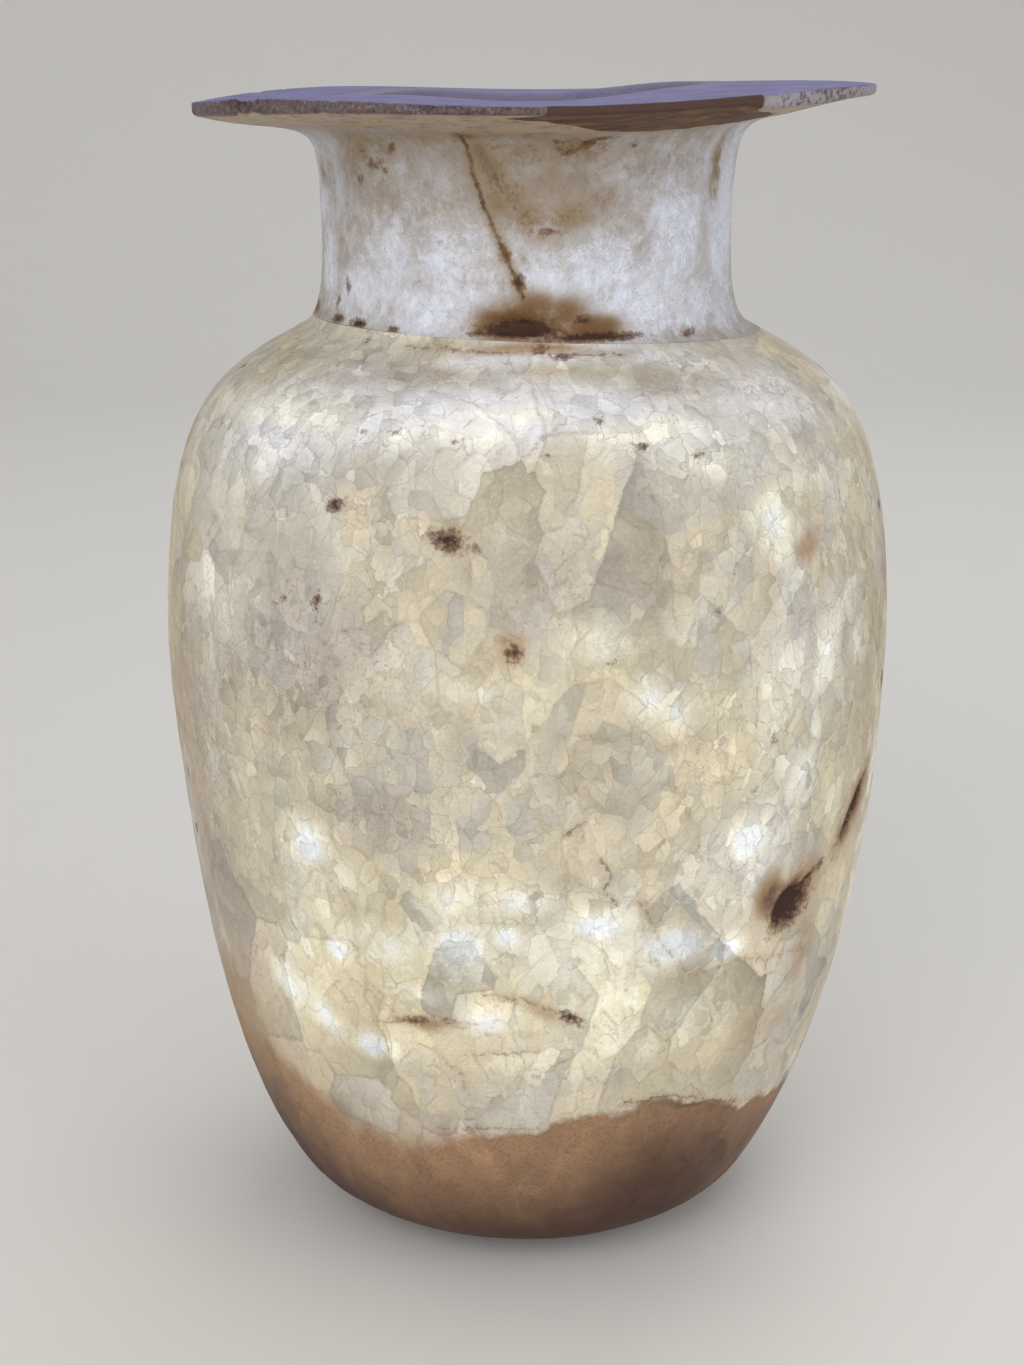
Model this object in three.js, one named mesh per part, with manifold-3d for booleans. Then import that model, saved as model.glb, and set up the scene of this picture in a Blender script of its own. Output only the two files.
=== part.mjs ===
// Alabaster vase: a tall hollow body on a small flat foot, with a separately carved neck and flat rim
// cemented to its shoulder, and an old brown fill where a piece of the rim's underside is lost.
// Millimetres, +Z up. The origin is the centre of the underside, -Y is the front and +X its right.
// Angles round the axis are in degrees: 0 is the right side, -90 the front, 90 the back.

import * as THREE from 'three';
import { mergeVertices } from 'three/addons/utils/BufferGeometryUtils.js';
import Module from 'manifold-3d';

const wasm = await Module();
wasm.setup();

// Driving dimensions of the outside
const footRadius = 45;
const heelRadius = 85.7;
const heelHeight = 20;
const bellyRadius = 125;
const bellyHeight = 207;
const shoulderRadius = 75.5;
const shoulderHeight = 316.6;
const neckRadius = 68.4;
const neckHeight = 346;
const flareRadius = 80;
const flareHeight = 382;
const rimRadius = 111.2;
const rimHeight = 391.6;
const rimThickness = 4;
const rimOffset = 2.1;

// Driving dimensions of the inside
const mouthRadius = 59;
const wall = 10.5;
const lowWall = 13;
const floorHeight = 46;
const ceilingHeight = 308;

// The joint between body and neck is a plane that rises towards the left and the front
const jointGap = 0.3;
const jointHeight = 317.3;
const jointSlopeX = -0.035;
const jointSlopeY = -0.027;

// How finely the round shapes are divided
const segments = 64;

const rad = THREE.MathUtils.degToRad;
const smooth = THREE.MathUtils.smoothstep;

// A knot is a point of the outline with the direction in which the outline passes through it.
function knot(radius, height, degrees) {
  return { point: new THREE.Vector2(radius, height), degrees };
}

function along({ point, degrees }, length) {
  const step = new THREE.Vector2(Math.cos(rad(degrees)), Math.sin(rad(degrees)));
  return step.multiplyScalar(length).add(point);
}

function sweep(from, leave, to, arrive) {
  return new THREE.CubicBezierCurve(from.point, along(from, leave), along(to, -arrive), to.point);
}

// Outside, from the foot up to the underside of the rim
const foot = knot(footRadius, 0, 0);
const heel = knot(heelRadius, heelHeight, 57.7);
const belly = knot(bellyRadius, bellyHeight, 90);
const shoulder = knot(shoulderRadius, shoulderHeight, 150);
const waist = knot(neckRadius, neckHeight, 90);
const throat = knot(neckRadius + 1.2, flareHeight - 11, 82);
const flare = knot(flareRadius, flareHeight, 12);

const heelCurve = sweep(foot, 8.1, heel, 14.5);
const lowerCurve = sweep(heel, 67, belly, 10.9);
const upperCurve = sweep(belly, 91.5, shoulder, 29.5);
const neckCurve = sweep(shoulder, 6, waist, 18);
const throatCurve = sweep(waist, 9, throat, 9);
const flareCurve = sweep(throat, 7.5, flare, 7);

function outsidePoints() {
  const parts = [
    heelCurve.getPoints(4),
    lowerCurve.getPoints(8),
    upperCurve.getPoints(9),
    neckCurve.getPoints(5),
    throatCurve.getPoints(2),
    flareCurve.getPoints(5),
  ];
  return parts.flatMap((points, index) => (index === 0 ? points : points.slice(1)));
}

// The rim: a worn lower edge, a plain edge band and a crisp upper edge round a flat top
function rimPoints() {
  const under = rimHeight - rimThickness;
  return [
    new THREE.Vector2(98, flareHeight + 3.3),
    new THREE.Vector2(rimRadius - 1.4, under - 0.1),
    new THREE.Vector2(rimRadius - 0.3, under + 0.6),
    new THREE.Vector2(rimRadius, under + 1.5),
    new THREE.Vector2(rimRadius, rimHeight - 0.5),
    new THREE.Vector2(rimRadius - 0.6, rimHeight),
    new THREE.Vector2(flareRadius, rimHeight),
    new THREE.Vector2(mouthRadius + 1.6, rimHeight),
    new THREE.Vector2(mouthRadius + 0.4, rimHeight - 0.5),
    new THREE.Vector2(mouthRadius, rimHeight - 1.8),
  ];
}

// Inside, from the mouth down the straight bore, under the shoulder and down the wall to the floor
function insidePoints() {
  const points = [
    new THREE.Vector2(mouthRadius, 350),
    new THREE.Vector2(mouthRadius, ceilingHeight + 2),
    new THREE.Vector2(mouthRadius + 1.5, ceilingHeight),
  ];
  const inward = (curve, share, thickness) => {
    const tangent = curve.getTangent(share);
    return curve.getPoint(share).add(new THREE.Vector2(-tangent.y, tangent.x).multiplyScalar(thickness));
  };
  for (const share of [1, 0.9, 0.78, 0.62, 0.42, 0.2]) {
    points.push(inward(upperCurve, share, wall));
  }
  const lowest = 0.42;
  for (const share of [1, 0.8, 0.6, lowest]) {
    const thickness = THREE.MathUtils.mapLinear(share, 1, lowest, wall, lowWall);
    points.push(inward(lowerCurve, share, thickness));
  }
  const last = points[points.length - 1];
  const tangent = lowerCurve.getTangent(lowest);
  const lastKnot = knot(last.x, last.y, THREE.MathUtils.radToDeg(Math.atan2(tangent.y, tangent.x)));
  const floorCurve = sweep(knot(0, floorHeight, 0), 62, lastKnot, 20);
  return [...points, ...floorCurve.getPoints(5).reverse().slice(1)];
}

// Turns a three.js geometry into a solid that can be cut.
function solid(geometry) {
  const plain = geometry.clone();
  plain.deleteAttribute('normal');
  plain.deleteAttribute('uv');
  const merged = mergeVertices(plain, 1e-3);
  return new wasm.Manifold(
    new wasm.Mesh({
      numProp: 3,
      vertProperties: new Float32Array(merged.attributes.position.array),
      triVerts: new Uint32Array(merged.index.array),
    }),
  );
}

function turned(points) {
  return solid(new THREE.LatheGeometry(points, segments).rotateX(Math.PI / 2));
}

function polar(radius, degrees) {
  return new THREE.Vector2(radius * Math.cos(rad(degrees)), radius * Math.sin(rad(degrees)));
}

// The space above or below the joint, with the joint's own gap, as a big tilted block
function beyondJoint(side) {
  const size = 400;
  const block = new THREE.BoxGeometry(size, size, size);
  block.translate(0, 0, (side * (size - jointGap)) / 2);
  block.rotateY(Math.atan(-jointSlopeX));
  block.rotateX(Math.atan(jointSlopeY));
  block.translate(0, 0, jointHeight);
  return solid(block);
}

// Moves each side of a closed outline outwards by the clearance. The outline runs anticlockwise.
function widened(corners, clearance) {
  const outward = (from, to) => new THREE.Vector2(to.y - from.y, from.x - to.x).normalize();
  return corners.map((corner, index) => {
    const before = outward(corners.at(index - 1), corner);
    const after = outward(corner, corners[(index + 1) % corners.length]);
    const shift = before.clone().add(after);
    return shift.multiplyScalar((2 * clearance) / shift.lengthSq()).add(corner);
  });
}

// What is lost from the rim's underside at the front right. In plan it follows the edge for a stretch,
// runs to its right and back along the root of the rim, and ends in a tongue at its left. The break climbs
// from the root of the rim to its upper edge.
function lostPiece(clearance) {
  const plan = [
    [118, -83.5],
    [118, -53.8],
    [108, -53.2],
    [103, -48],
    [95, -38],
    [86, -30],
    [79, -34],
    [78.3, -42],
    [77.6, -54],
    [78.6, -65],
    [84.5, -75.6],
    [91.5, -81.5],
    [98.5, -88],
    [103, -94.5],
    [106, -92],
  ];
  const corners = widened(plan.map(([radius, degrees]) => polar(radius, degrees)), clearance);
  const slab = new THREE.ExtrudeGeometry(new THREE.Shape(corners), { depth: 30, bevelEnabled: false });
  slab.translate(0, 0, flareHeight - 12);
  const breakLine = [
    [120, rimHeight + 4],
    [rimRadius - 1.6, rimHeight],
    [98, rimHeight - 2.9],
    [84, flareHeight + 3.2],
    [76, flareHeight + 0.2],
    [70, flareHeight - 3],
  ];
  const below = [
    new THREE.Vector2(70, flareHeight - 14),
    new THREE.Vector2(120, flareHeight - 14),
    ...breakLine.map(([radius, height]) => new THREE.Vector2(radius, height + clearance)),
    new THREE.Vector2(70, flareHeight - 14),
  ];
  return solid(slab).intersect(turned(below));
}

// A shallow hollow in the surface: its middle, half width round the vase, half height and depth
function hollow({ degrees, radius, height, halfWidth, halfHeight, depth, tilt = 0 }) {
  const lens = new THREE.SphereGeometry(1, 12, 8);
  lens.scale(depth, halfWidth, halfHeight);
  lens.rotateX(rad(tilt));
  lens.rotateZ(rad(degrees));
  const middle = polar(radius, degrees);
  lens.translate(middle.x, middle.y, height);
  return solid(lens);
}

// Chips and hollows along the foot of the neck, and the dark pit low on the right of the body
const neckHollows = [
  { degrees: -91.5, radius: 71, height: 324.3, halfWidth: 12, halfHeight: 3, depth: 4.5 },
  { degrees: -71.5, radius: 72.2, height: 321.6, halfWidth: 12.5, halfHeight: 1.5, depth: 2 },
  { degrees: -140, radius: 71.5, height: 321.4, halfWidth: 5.5, halfHeight: 1.9, depth: 2.2 },
  { degrees: -126, radius: 71.6, height: 321, halfWidth: 2.4, halfHeight: 1.4, depth: 1.6 },
];
const bodyHollows = [
  { degrees: -45.2, radius: 120.4, height: 143.3, halfWidth: 4.4, halfHeight: 6, depth: 3.2, tilt: 25 },
];

// Unevenness of the hand-cut form, as smooth functions of angle and height

// The middle of the body wanders from the axis, to the left below and to the right at half height.
function wander(z) {
  const atFoot = -1.2;
  const upToHalf = 1.9 * smooth(z, 30, 145);
  const backAtBelly = -0.7 * smooth(z, 150, bellyHeight);
  const atNeck = -0.35 * smooth(z, 240, 320);
  return atFoot + upToHalf + backAtBelly + atNeck;
}

// Height of the rim's upper edge above or below its mean
function rimWave(angle) {
  const waves = [0, 2.2, 0.7, 0.8, -0.9];
  return waves.reduce((sum, size, count) => sum + size * Math.cos(count * angle), 0);
}

// Thickness of the rim's edge: thin in front, thick at the front left, with a step at the end of the fill
function edgeThickness(angle) {
  const degrees = THREE.MathUtils.radToDeg(angle);
  const step = 1.4 * (smooth(degrees, -56, -52) - smooth(degrees, -45, -22));
  const frontLeft = (1 + Math.cos(angle + rad(146))) / 2;
  return 3.2 + 0.5 * Math.sin(angle) + 2.5 * frontLeft ** 12 + step;
}

// Moves each point of a finished piece from the true round form to the uneven one.
function settle(position) {
  for (let i = 0; i < position.count; i++) {
    const x = position.getX(i);
    const y = position.getY(i);
    const z = position.getZ(i);
    const radius = Math.hypot(x, y);
    const angle = Math.atan2(y, x);
    const outward = smooth(radius, flareRadius, rimRadius - 3) * smooth(z, neckHeight, flareHeight - 8);
    const thicker = (rimHeight - z) * (edgeThickness(angle) / rimThickness - 1) * outward;
    const rimShift = rimOffset * outward;
    const lift = rimWave(angle) * smooth(z, flareHeight - 16, rimHeight + 1.5);
    position.setXYZ(i, x + wander(z) + rimShift, y, z + lift - thicker);
  }
}

function piece(name, shape, color, roughness) {
  const { vertProperties, triVerts } = shape.getMesh();
  const geometry = new THREE.BufferGeometry();
  const position = new THREE.BufferAttribute(new Float32Array(vertProperties), 3);
  settle(position);
  geometry.setAttribute('position', position);
  geometry.setIndex(new THREE.BufferAttribute(new Uint32Array(triVerts), 1));
  geometry.computeVertexNormals();
  const mesh = new THREE.Mesh(geometry, new THREE.MeshStandardMaterial({ color, roughness, metalness: 0 }));
  mesh.name = name;
  return mesh;
}

function cutAll(shape, hollows) {
  return hollows.reduce((rest, size) => rest.subtract(hollow(size)), shape);
}

const vessel = turned([new THREE.Vector2(0, 0), ...outsidePoints(), ...rimPoints(), ...insidePoints()]);
const bodyShape = cutAll(vessel.subtract(beyondJoint(1)), bodyHollows);
const neckShape = cutAll(vessel.subtract(beyondJoint(-1)), neckHollows);

const vase = new THREE.Group();
vase.add(
  piece('body', bodyShape, 0xcdbd9d, 0.5),
  piece('neck_and_rim', neckShape.subtract(lostPiece(jointGap)), 0xd6d0c6, 0.45),
  piece('rim_fill', neckShape.intersect(lostPiece(0)), 0x5b4030, 0.75),
);

export default vase;
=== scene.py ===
"""Dresses an alabaster vase for its picture: crystalline stone body, cemented neck with a flat rim, brown fill.

Metres, +Z up, the origin at the centre of the underside, -Y the front. The form repeats the named sizes of the
solids in millimetres, and MM turns them into metres. Angles round the axis are in degrees: 0 is the right side,
-90 the front and 90 the back.
"""

import functools
import logging
import math
from dataclasses import dataclass, field
from enum import Enum
from typing import Sequence

import bmesh
import bpy
import numpy as np
from mathutils import Matrix, Vector


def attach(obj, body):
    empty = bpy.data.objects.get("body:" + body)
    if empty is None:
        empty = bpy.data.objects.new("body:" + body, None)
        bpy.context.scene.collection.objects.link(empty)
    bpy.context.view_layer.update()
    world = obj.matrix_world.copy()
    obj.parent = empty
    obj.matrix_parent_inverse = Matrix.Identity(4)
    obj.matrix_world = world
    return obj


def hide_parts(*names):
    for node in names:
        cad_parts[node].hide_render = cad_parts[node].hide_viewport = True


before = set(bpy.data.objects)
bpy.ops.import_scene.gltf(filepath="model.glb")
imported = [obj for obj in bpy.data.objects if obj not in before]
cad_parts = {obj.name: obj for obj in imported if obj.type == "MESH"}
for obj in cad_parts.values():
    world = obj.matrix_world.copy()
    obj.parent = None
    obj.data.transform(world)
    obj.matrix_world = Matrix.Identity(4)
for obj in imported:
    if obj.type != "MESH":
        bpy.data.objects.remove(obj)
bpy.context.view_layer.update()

LOG = logging.getLogger("vase")
MM = 0.001
PHOTO_HEIGHT = 1365.0
MARK_DEPTH = 30.0
FAR = 99.0
HIDDEN_FROM, HIDDEN_SPAN = -18.0, 220.0

Point = tuple[float, float]
Color = tuple[float, float, float]


def smooth(value: np.ndarray | float, low: float, high: float) -> np.ndarray:
    """Rises smoothly from 0 at low to 1 at high.

    Args:
        value: What is measured.
        low: Where the rise starts.
        high: Where the rise ends.

    Returns:
        The share from 0 to 1.
    """
    share = np.clip((np.asarray(value, dtype=float) - low) / (high - low), 0.0, 1.0)
    return share * share * (3.0 - 2.0 * share)


def resampled(points: Sequence[Point], step: float) -> list[Point]:
    """Divides a line of points evenly.

    Args:
        points: The line, as radius and height.
        step: The wished spacing, in millimetres.

    Returns:
        Points at even spacing, with both ends kept.
    """
    line = np.array(points)
    runs = np.hypot(*np.diff(line, axis=0).T)
    length = np.concatenate([[0.0], np.cumsum(runs)])
    count = max(1, round(length[-1] / step))
    wanted = np.linspace(0.0, length[-1], count + 1)
    columns = [np.interp(wanted, length, column) for column in line.T]
    return [(float(r), float(z)) for r, z in zip(*columns)]


@dataclass(frozen=True)
class Knot:
    """A point of the outline, with the direction in which the outline passes it."""

    radius: float
    height: float
    degrees: float

    def along(self, length: float) -> Point:
        """The point this far along the knot's direction."""
        turn = math.radians(self.degrees)
        return self.radius + length * math.cos(turn), self.height + length * math.sin(turn)


@dataclass(frozen=True)
class Sweep:
    """A smooth curve between two knots, which it leaves and reaches in their directions."""

    start: Knot
    leave: float
    end: Knot
    arrive: float

    def at(self, share: float) -> np.ndarray:
        """The point at this share of the curve.

        Args:
            share: 0 at the start and 1 at the end.

        Returns:
            Radius and height.
        """
        a, b, c, d = self._handles()
        rest = 1.0 - share
        return rest**3 * a + 3 * rest**2 * share * b + 3 * rest * share**2 * c + share**3 * d

    def inward(self, share: float, thickness: float) -> Point:
        """The point this far inside the curve, square to it.

        Args:
            share: 0 at the start and 1 at the end.
            thickness: How far inside, in millimetres.

        Returns:
            Radius and height.
        """
        a, b, c, d = self._handles()
        rest = 1.0 - share
        slope = rest**2 * (b - a) + 2 * rest * share * (c - b) + share**2 * (d - c)
        slope = slope / np.hypot(*slope)
        radius, height = self.at(share)
        return float(radius - slope[1] * thickness), float(height + slope[0] * thickness)

    def line(self, count: int = 60) -> list[Point]:
        """Many points along the curve."""
        return [tuple(float(v) for v in self.at(i / count)) for i in range(count + 1)]

    def _handles(self) -> tuple[np.ndarray, np.ndarray, np.ndarray, np.ndarray]:
        """The curve's two ends and two handles.

        Returns:
            The start, its handle, the handle of the end, and the end.
        """
        return (
            np.array([self.start.radius, self.start.height]),
            np.array(self.start.along(self.leave)),
            np.array(self.end.along(-self.arrive)),
            np.array([self.end.radius, self.end.height]),
        )


@dataclass(frozen=True)
class VesselForm:
    """The vase's driving sizes in millimetres, the same as in the solids, and how the true round form settles."""

    belly_radius: float = 125.0
    belly_height: float = 207.0
    flare_radius: float = 80.0
    flare_height: float = 382.0
    neck_height: float = 346.0
    rim_radius: float = 111.2
    rim_height: float = 391.6
    rim_thickness: float = 4.0
    rim_offset: float = 2.1
    mouth_radius: float = 59.0
    wall: float = 10.5
    low_wall: float = 13.0
    floor_height: float = 46.0
    ceiling_height: float = 308.0
    joint_height: float = 317.3
    joint_slope: Point = (-0.035, -0.027)

    @property
    def heel_curve(self) -> Sweep:
        """From the flat foot round the heel."""
        return Sweep(Knot(45.0, 0.0, 0.0), 8.1, Knot(85.7, 20.0, 57.7), 14.5)

    @property
    def lower_curve(self) -> Sweep:
        """From the heel up to the widest girth."""
        return Sweep(Knot(85.7, 20.0, 57.7), 67.0, Knot(self.belly_radius, self.belly_height, 90.0), 10.9)

    @property
    def upper_curve(self) -> Sweep:
        """From the widest girth over the shoulder."""
        return Sweep(Knot(self.belly_radius, self.belly_height, 90.0), 91.5, Knot(75.5, 316.6, 150.0), 29.5)

    @property
    def neck_line(self) -> list[Point]:
        """From the shoulder up the neck and out under the rim.

        Returns:
            Radius and height of its points.
        """
        shoulder = Knot(75.5, 316.6, 150.0)
        waist = Knot(68.4, self.neck_height, 90.0)
        throat = Knot(69.6, self.flare_height - 11.0, 82.0)
        flare = Knot(self.flare_radius, self.flare_height, 12.0)
        parts = [Sweep(shoulder, 6.0, waist, 18.0), Sweep(waist, 9.0, throat, 9.0), Sweep(throat, 7.5, flare, 7.0)]
        return [point for part in parts for point in part.line()]

    @property
    def body_line(self) -> list[Point]:
        """From the foot up to the top of the shoulder."""
        return self.heel_curve.line() + self.lower_curve.line() + self.upper_curve.line()

    def inside_line(self) -> list[Point]:
        """From under the shoulder down the inside of the wall to the middle of the floor.

        Returns:
            Radius and height of its points.
        """
        lowest = 0.42
        points = [self.upper_curve.inward(share, self.wall) for share in (1, 0.9, 0.78, 0.62, 0.42, 0.2)]
        for share in (1, 0.8, 0.6, lowest):
            thickness = self.wall + (1 - share) / (1 - lowest) * (self.low_wall - self.wall)
            points.append(self.lower_curve.inward(share, thickness))
        end, before = np.array(points[-1]), np.array(self.lower_curve.inward(lowest + 0.01, self.low_wall))
        slope = math.degrees(math.atan2(before[1] - end[1], before[0] - end[0]))
        floor = Sweep(Knot(0.0, self.floor_height, 0.0), 62.0, Knot(*points[-1], slope), 20.0)
        return points + floor.line(14)[::-1][1:]

    @functools.cached_property
    def outside(self) -> np.ndarray:
        """Radius and height from the foot to the root of the rim, as rows."""
        return np.array(self.body_line + self.neck_line)

    def outer_radius(self, height: np.ndarray | float) -> np.ndarray:
        """The outside's radius at these heights."""
        return np.interp(height, self.outside[:, 1], self.outside[:, 0])

    def surface(self, degrees: float, height: float) -> tuple[np.ndarray, np.ndarray, np.ndarray]:
        """A place on the outside of the true round form.

        Args:
            degrees: The angle round the axis.
            height: The height, in millimetres.

        Returns:
            The point, the way round the axis there, and the way up along the outline.
        """
        turn = math.radians(degrees)
        out = np.array([math.cos(turn), math.sin(turn), 0.0])
        radius = float(self.outer_radius(height))
        rise = float(self.outer_radius(height + 1.0) - self.outer_radius(height - 1.0)) / 2.0
        up = out * rise + np.array([0.0, 0.0, 1.0])
        point = out * radius + np.array([0.0, 0.0, height])
        return point, np.array([-out[1], out[0], 0.0]), up / np.linalg.norm(up)

    def settle(self, points: np.ndarray) -> np.ndarray:
        """Moves points of the true round form to the uneven, hand-cut one.

        Args:
            points: Rows of x, y and z in millimetres.

        Returns:
            The moved points.
        """
        x, y, z = points.T
        radius, angle = np.hypot(x, y), np.arctan2(y, x)
        outward = smooth(radius, self.flare_radius, self.rim_radius - 3.0)
        outward = outward * smooth(z, self.neck_height, self.flare_height - 8.0)
        thicker = (self.rim_height - z) * (self.edge_thickness(angle) / self.rim_thickness - 1.0) * outward
        lift = self.rim_wave(angle) * smooth(z, self.flare_height - 16.0, self.rim_height + 1.5)
        return np.column_stack([x + self.wander(z) + self.rim_offset * outward, y, z + lift - thicker])

    def wander(self, z: np.ndarray) -> np.ndarray:
        """How far the middle of the body lies from the axis at each height.

        Args:
            z: Heights in millimetres.

        Returns:
            The way to the right, in millimetres.
        """
        up_to_half = 1.9 * smooth(z, 30.0, 145.0)
        back_at_belly = -0.7 * smooth(z, 150.0, self.belly_height)
        return -1.2 + up_to_half + back_at_belly - 0.35 * smooth(z, 240.0, 320.0)

    def rim_wave(self, angle: np.ndarray) -> np.ndarray:
        """Height of the rim's upper edge above or below its mean."""
        return sum(size * np.cos(count * angle) for count, size in enumerate((0.0, 2.2, 0.7, 0.8, -0.9)))

    def edge_thickness(self, angle: np.ndarray) -> np.ndarray:
        """Thickness of the rim's edge: thin in front, thick at the front left, with a step past the fill.

        Args:
            angle: Angles round the axis, in radians.

        Returns:
            The thickness in millimetres.
        """
        degrees = np.degrees(angle)
        step = 1.4 * (smooth(degrees, -56.0, -52.0) - smooth(degrees, -45.0, -22.0))
        front_left = ((1.0 + np.cos(angle + math.radians(146.0))) / 2.0) ** 12
        return 3.2 + 0.5 * np.sin(angle) + 2.5 * front_left + step


@dataclass(frozen=True)
class Mark:
    """A soft patch on the outside: its place, half sizes in millimetres, tilt and strength."""

    degrees: float
    height: float
    half_width: float
    half_height: float
    strength: float = 1.0
    tilt: float = 0.0

    def field(self, form: VesselForm, points: np.ndarray) -> np.ndarray:
        """How strongly the mark shows at each point.

        Args:
            form: The vase's form.
            points: Rows of x, y and z in millimetres, on the true round form.

        Returns:
            The strength at each point.
        """
        middle, sideways, up = form.surface(self.degrees, self.height)
        away = points - middle
        turn = math.radians(self.tilt)
        across = away @ (sideways * math.cos(turn) + up * math.sin(turn)) / self.half_width
        along = away @ (up * math.cos(turn) - sideways * math.sin(turn)) / self.half_height
        depth = away @ np.cross(sideways, up) / MARK_DEPTH
        return self.strength * np.exp(-(across**2 + along**2 + depth**2))


@dataclass(frozen=True)
class Crack:
    """A crack or thin vein along a line of places, each an angle and a height."""

    places: tuple[Point, ...]
    strength: float = 1.0
    reach: float = 5.0

    def fields(self, form: VesselForm, points: np.ndarray) -> tuple[np.ndarray, np.ndarray]:
        """The signed distance across the crack and how near each point is to it.

        Args:
            form: The vase's form.
            points: Rows of x, y and z in millimetres.

        Returns:
            The distance across in millimetres, and the nearness from 0 to the strength.
        """
        across = np.full(len(points), FAR)
        nearest = np.full(len(points), FAR)
        for first, second in zip(self.places, self.places[1:]):
            start, _, _ = form.surface(*first)
            end, _, _ = form.surface(*second)
            _, sideways, up = form.surface((first[0] + second[0]) / 2, (first[1] + second[1]) / 2)
            run = end - start
            length = np.linalg.norm(run)
            share = np.clip((points - start) @ run / length**2, 0.0, 1.0)
            away = points - (start + share[:, None] * run)
            distance = np.linalg.norm(away, axis=1)
            side = away @ np.cross(np.cross(sideways, up), run / length)
            closer = distance < nearest
            nearest = np.where(closer, distance, nearest)
            across = np.where(closer, side, across)
        return across, self.strength * (1.0 - smooth(nearest, self.reach * 0.4, self.reach))


def marks(*rows: tuple[float, ...]) -> tuple[Mark, ...]:
    """Marks from rows of angle, height, half width, half height, and where given strength and tilt."""
    return tuple(Mark(*row) for row in rows)


def mixed(form: VesselForm, points: np.ndarray, chosen: Sequence[Mark]) -> np.ndarray:
    """Lays marks over each other, so that the strongest shows.

    Args:
        form: The vase's form.
        points: Rows of x, y and z in millimetres.
        chosen: The marks.

    Returns:
        The strength at each point.
    """
    total = np.zeros(len(points))
    for mark in chosen:
        total = np.maximum(total, mark.field(form, points))
    return total


def cracked(form: VesselForm, points: np.ndarray, cracks: Sequence[Crack]) -> tuple[np.ndarray, np.ndarray]:
    """Lays several cracks over each other.

    Args:
        form: The vase's form.
        points: Rows of x, y and z in millimetres.
        cracks: The cracks.

    Returns:
        The distance across the nearest crack, and its nearness.
    """
    across, near = np.full(len(points), FAR), np.zeros(len(points))
    for crack in cracks:
        side, close = crack.fields(form, points)
        stronger = close > near
        across, near = np.where(stronger, side, across), np.maximum(near, close)
    return across, near


@dataclass(frozen=True)
class Waves:
    """Smooth noise: the size of its features in millimetres, its seed and how many layers it has."""

    size: float
    seed: int
    layers: int = 3
    side: int = 32
    shift: float = 7.3
    fade: float = 0.6

    def at(self, points: np.ndarray) -> np.ndarray:
        """The noise at each point.

        Args:
            points: Rows of x, y and z in millimetres.

        Returns:
            Values of about -1 to 1.
        """
        lattice = np.random.RandomState(self.seed).uniform(-1.0, 1.0, (self.side, self.side, self.side))
        total = np.zeros(len(points))
        for layer in range(self.layers):
            place = points / self.size * 2.0**layer + self.shift * layer
            cell = np.floor(place).astype(int)
            share = place - cell
            share = share * share * (3.0 - 2.0 * share)
            value = np.zeros(len(points))
            for corner in np.ndindex(2, 2, 2):
                weight = np.prod(np.where(np.array(corner) == 1, share, 1.0 - share), axis=1)
                x, y, z = ((cell + corner) % self.side).T
                value += weight * lattice[x, y, z]
            total += value * self.fade**layer
        return total


# Dressing of materials


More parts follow.
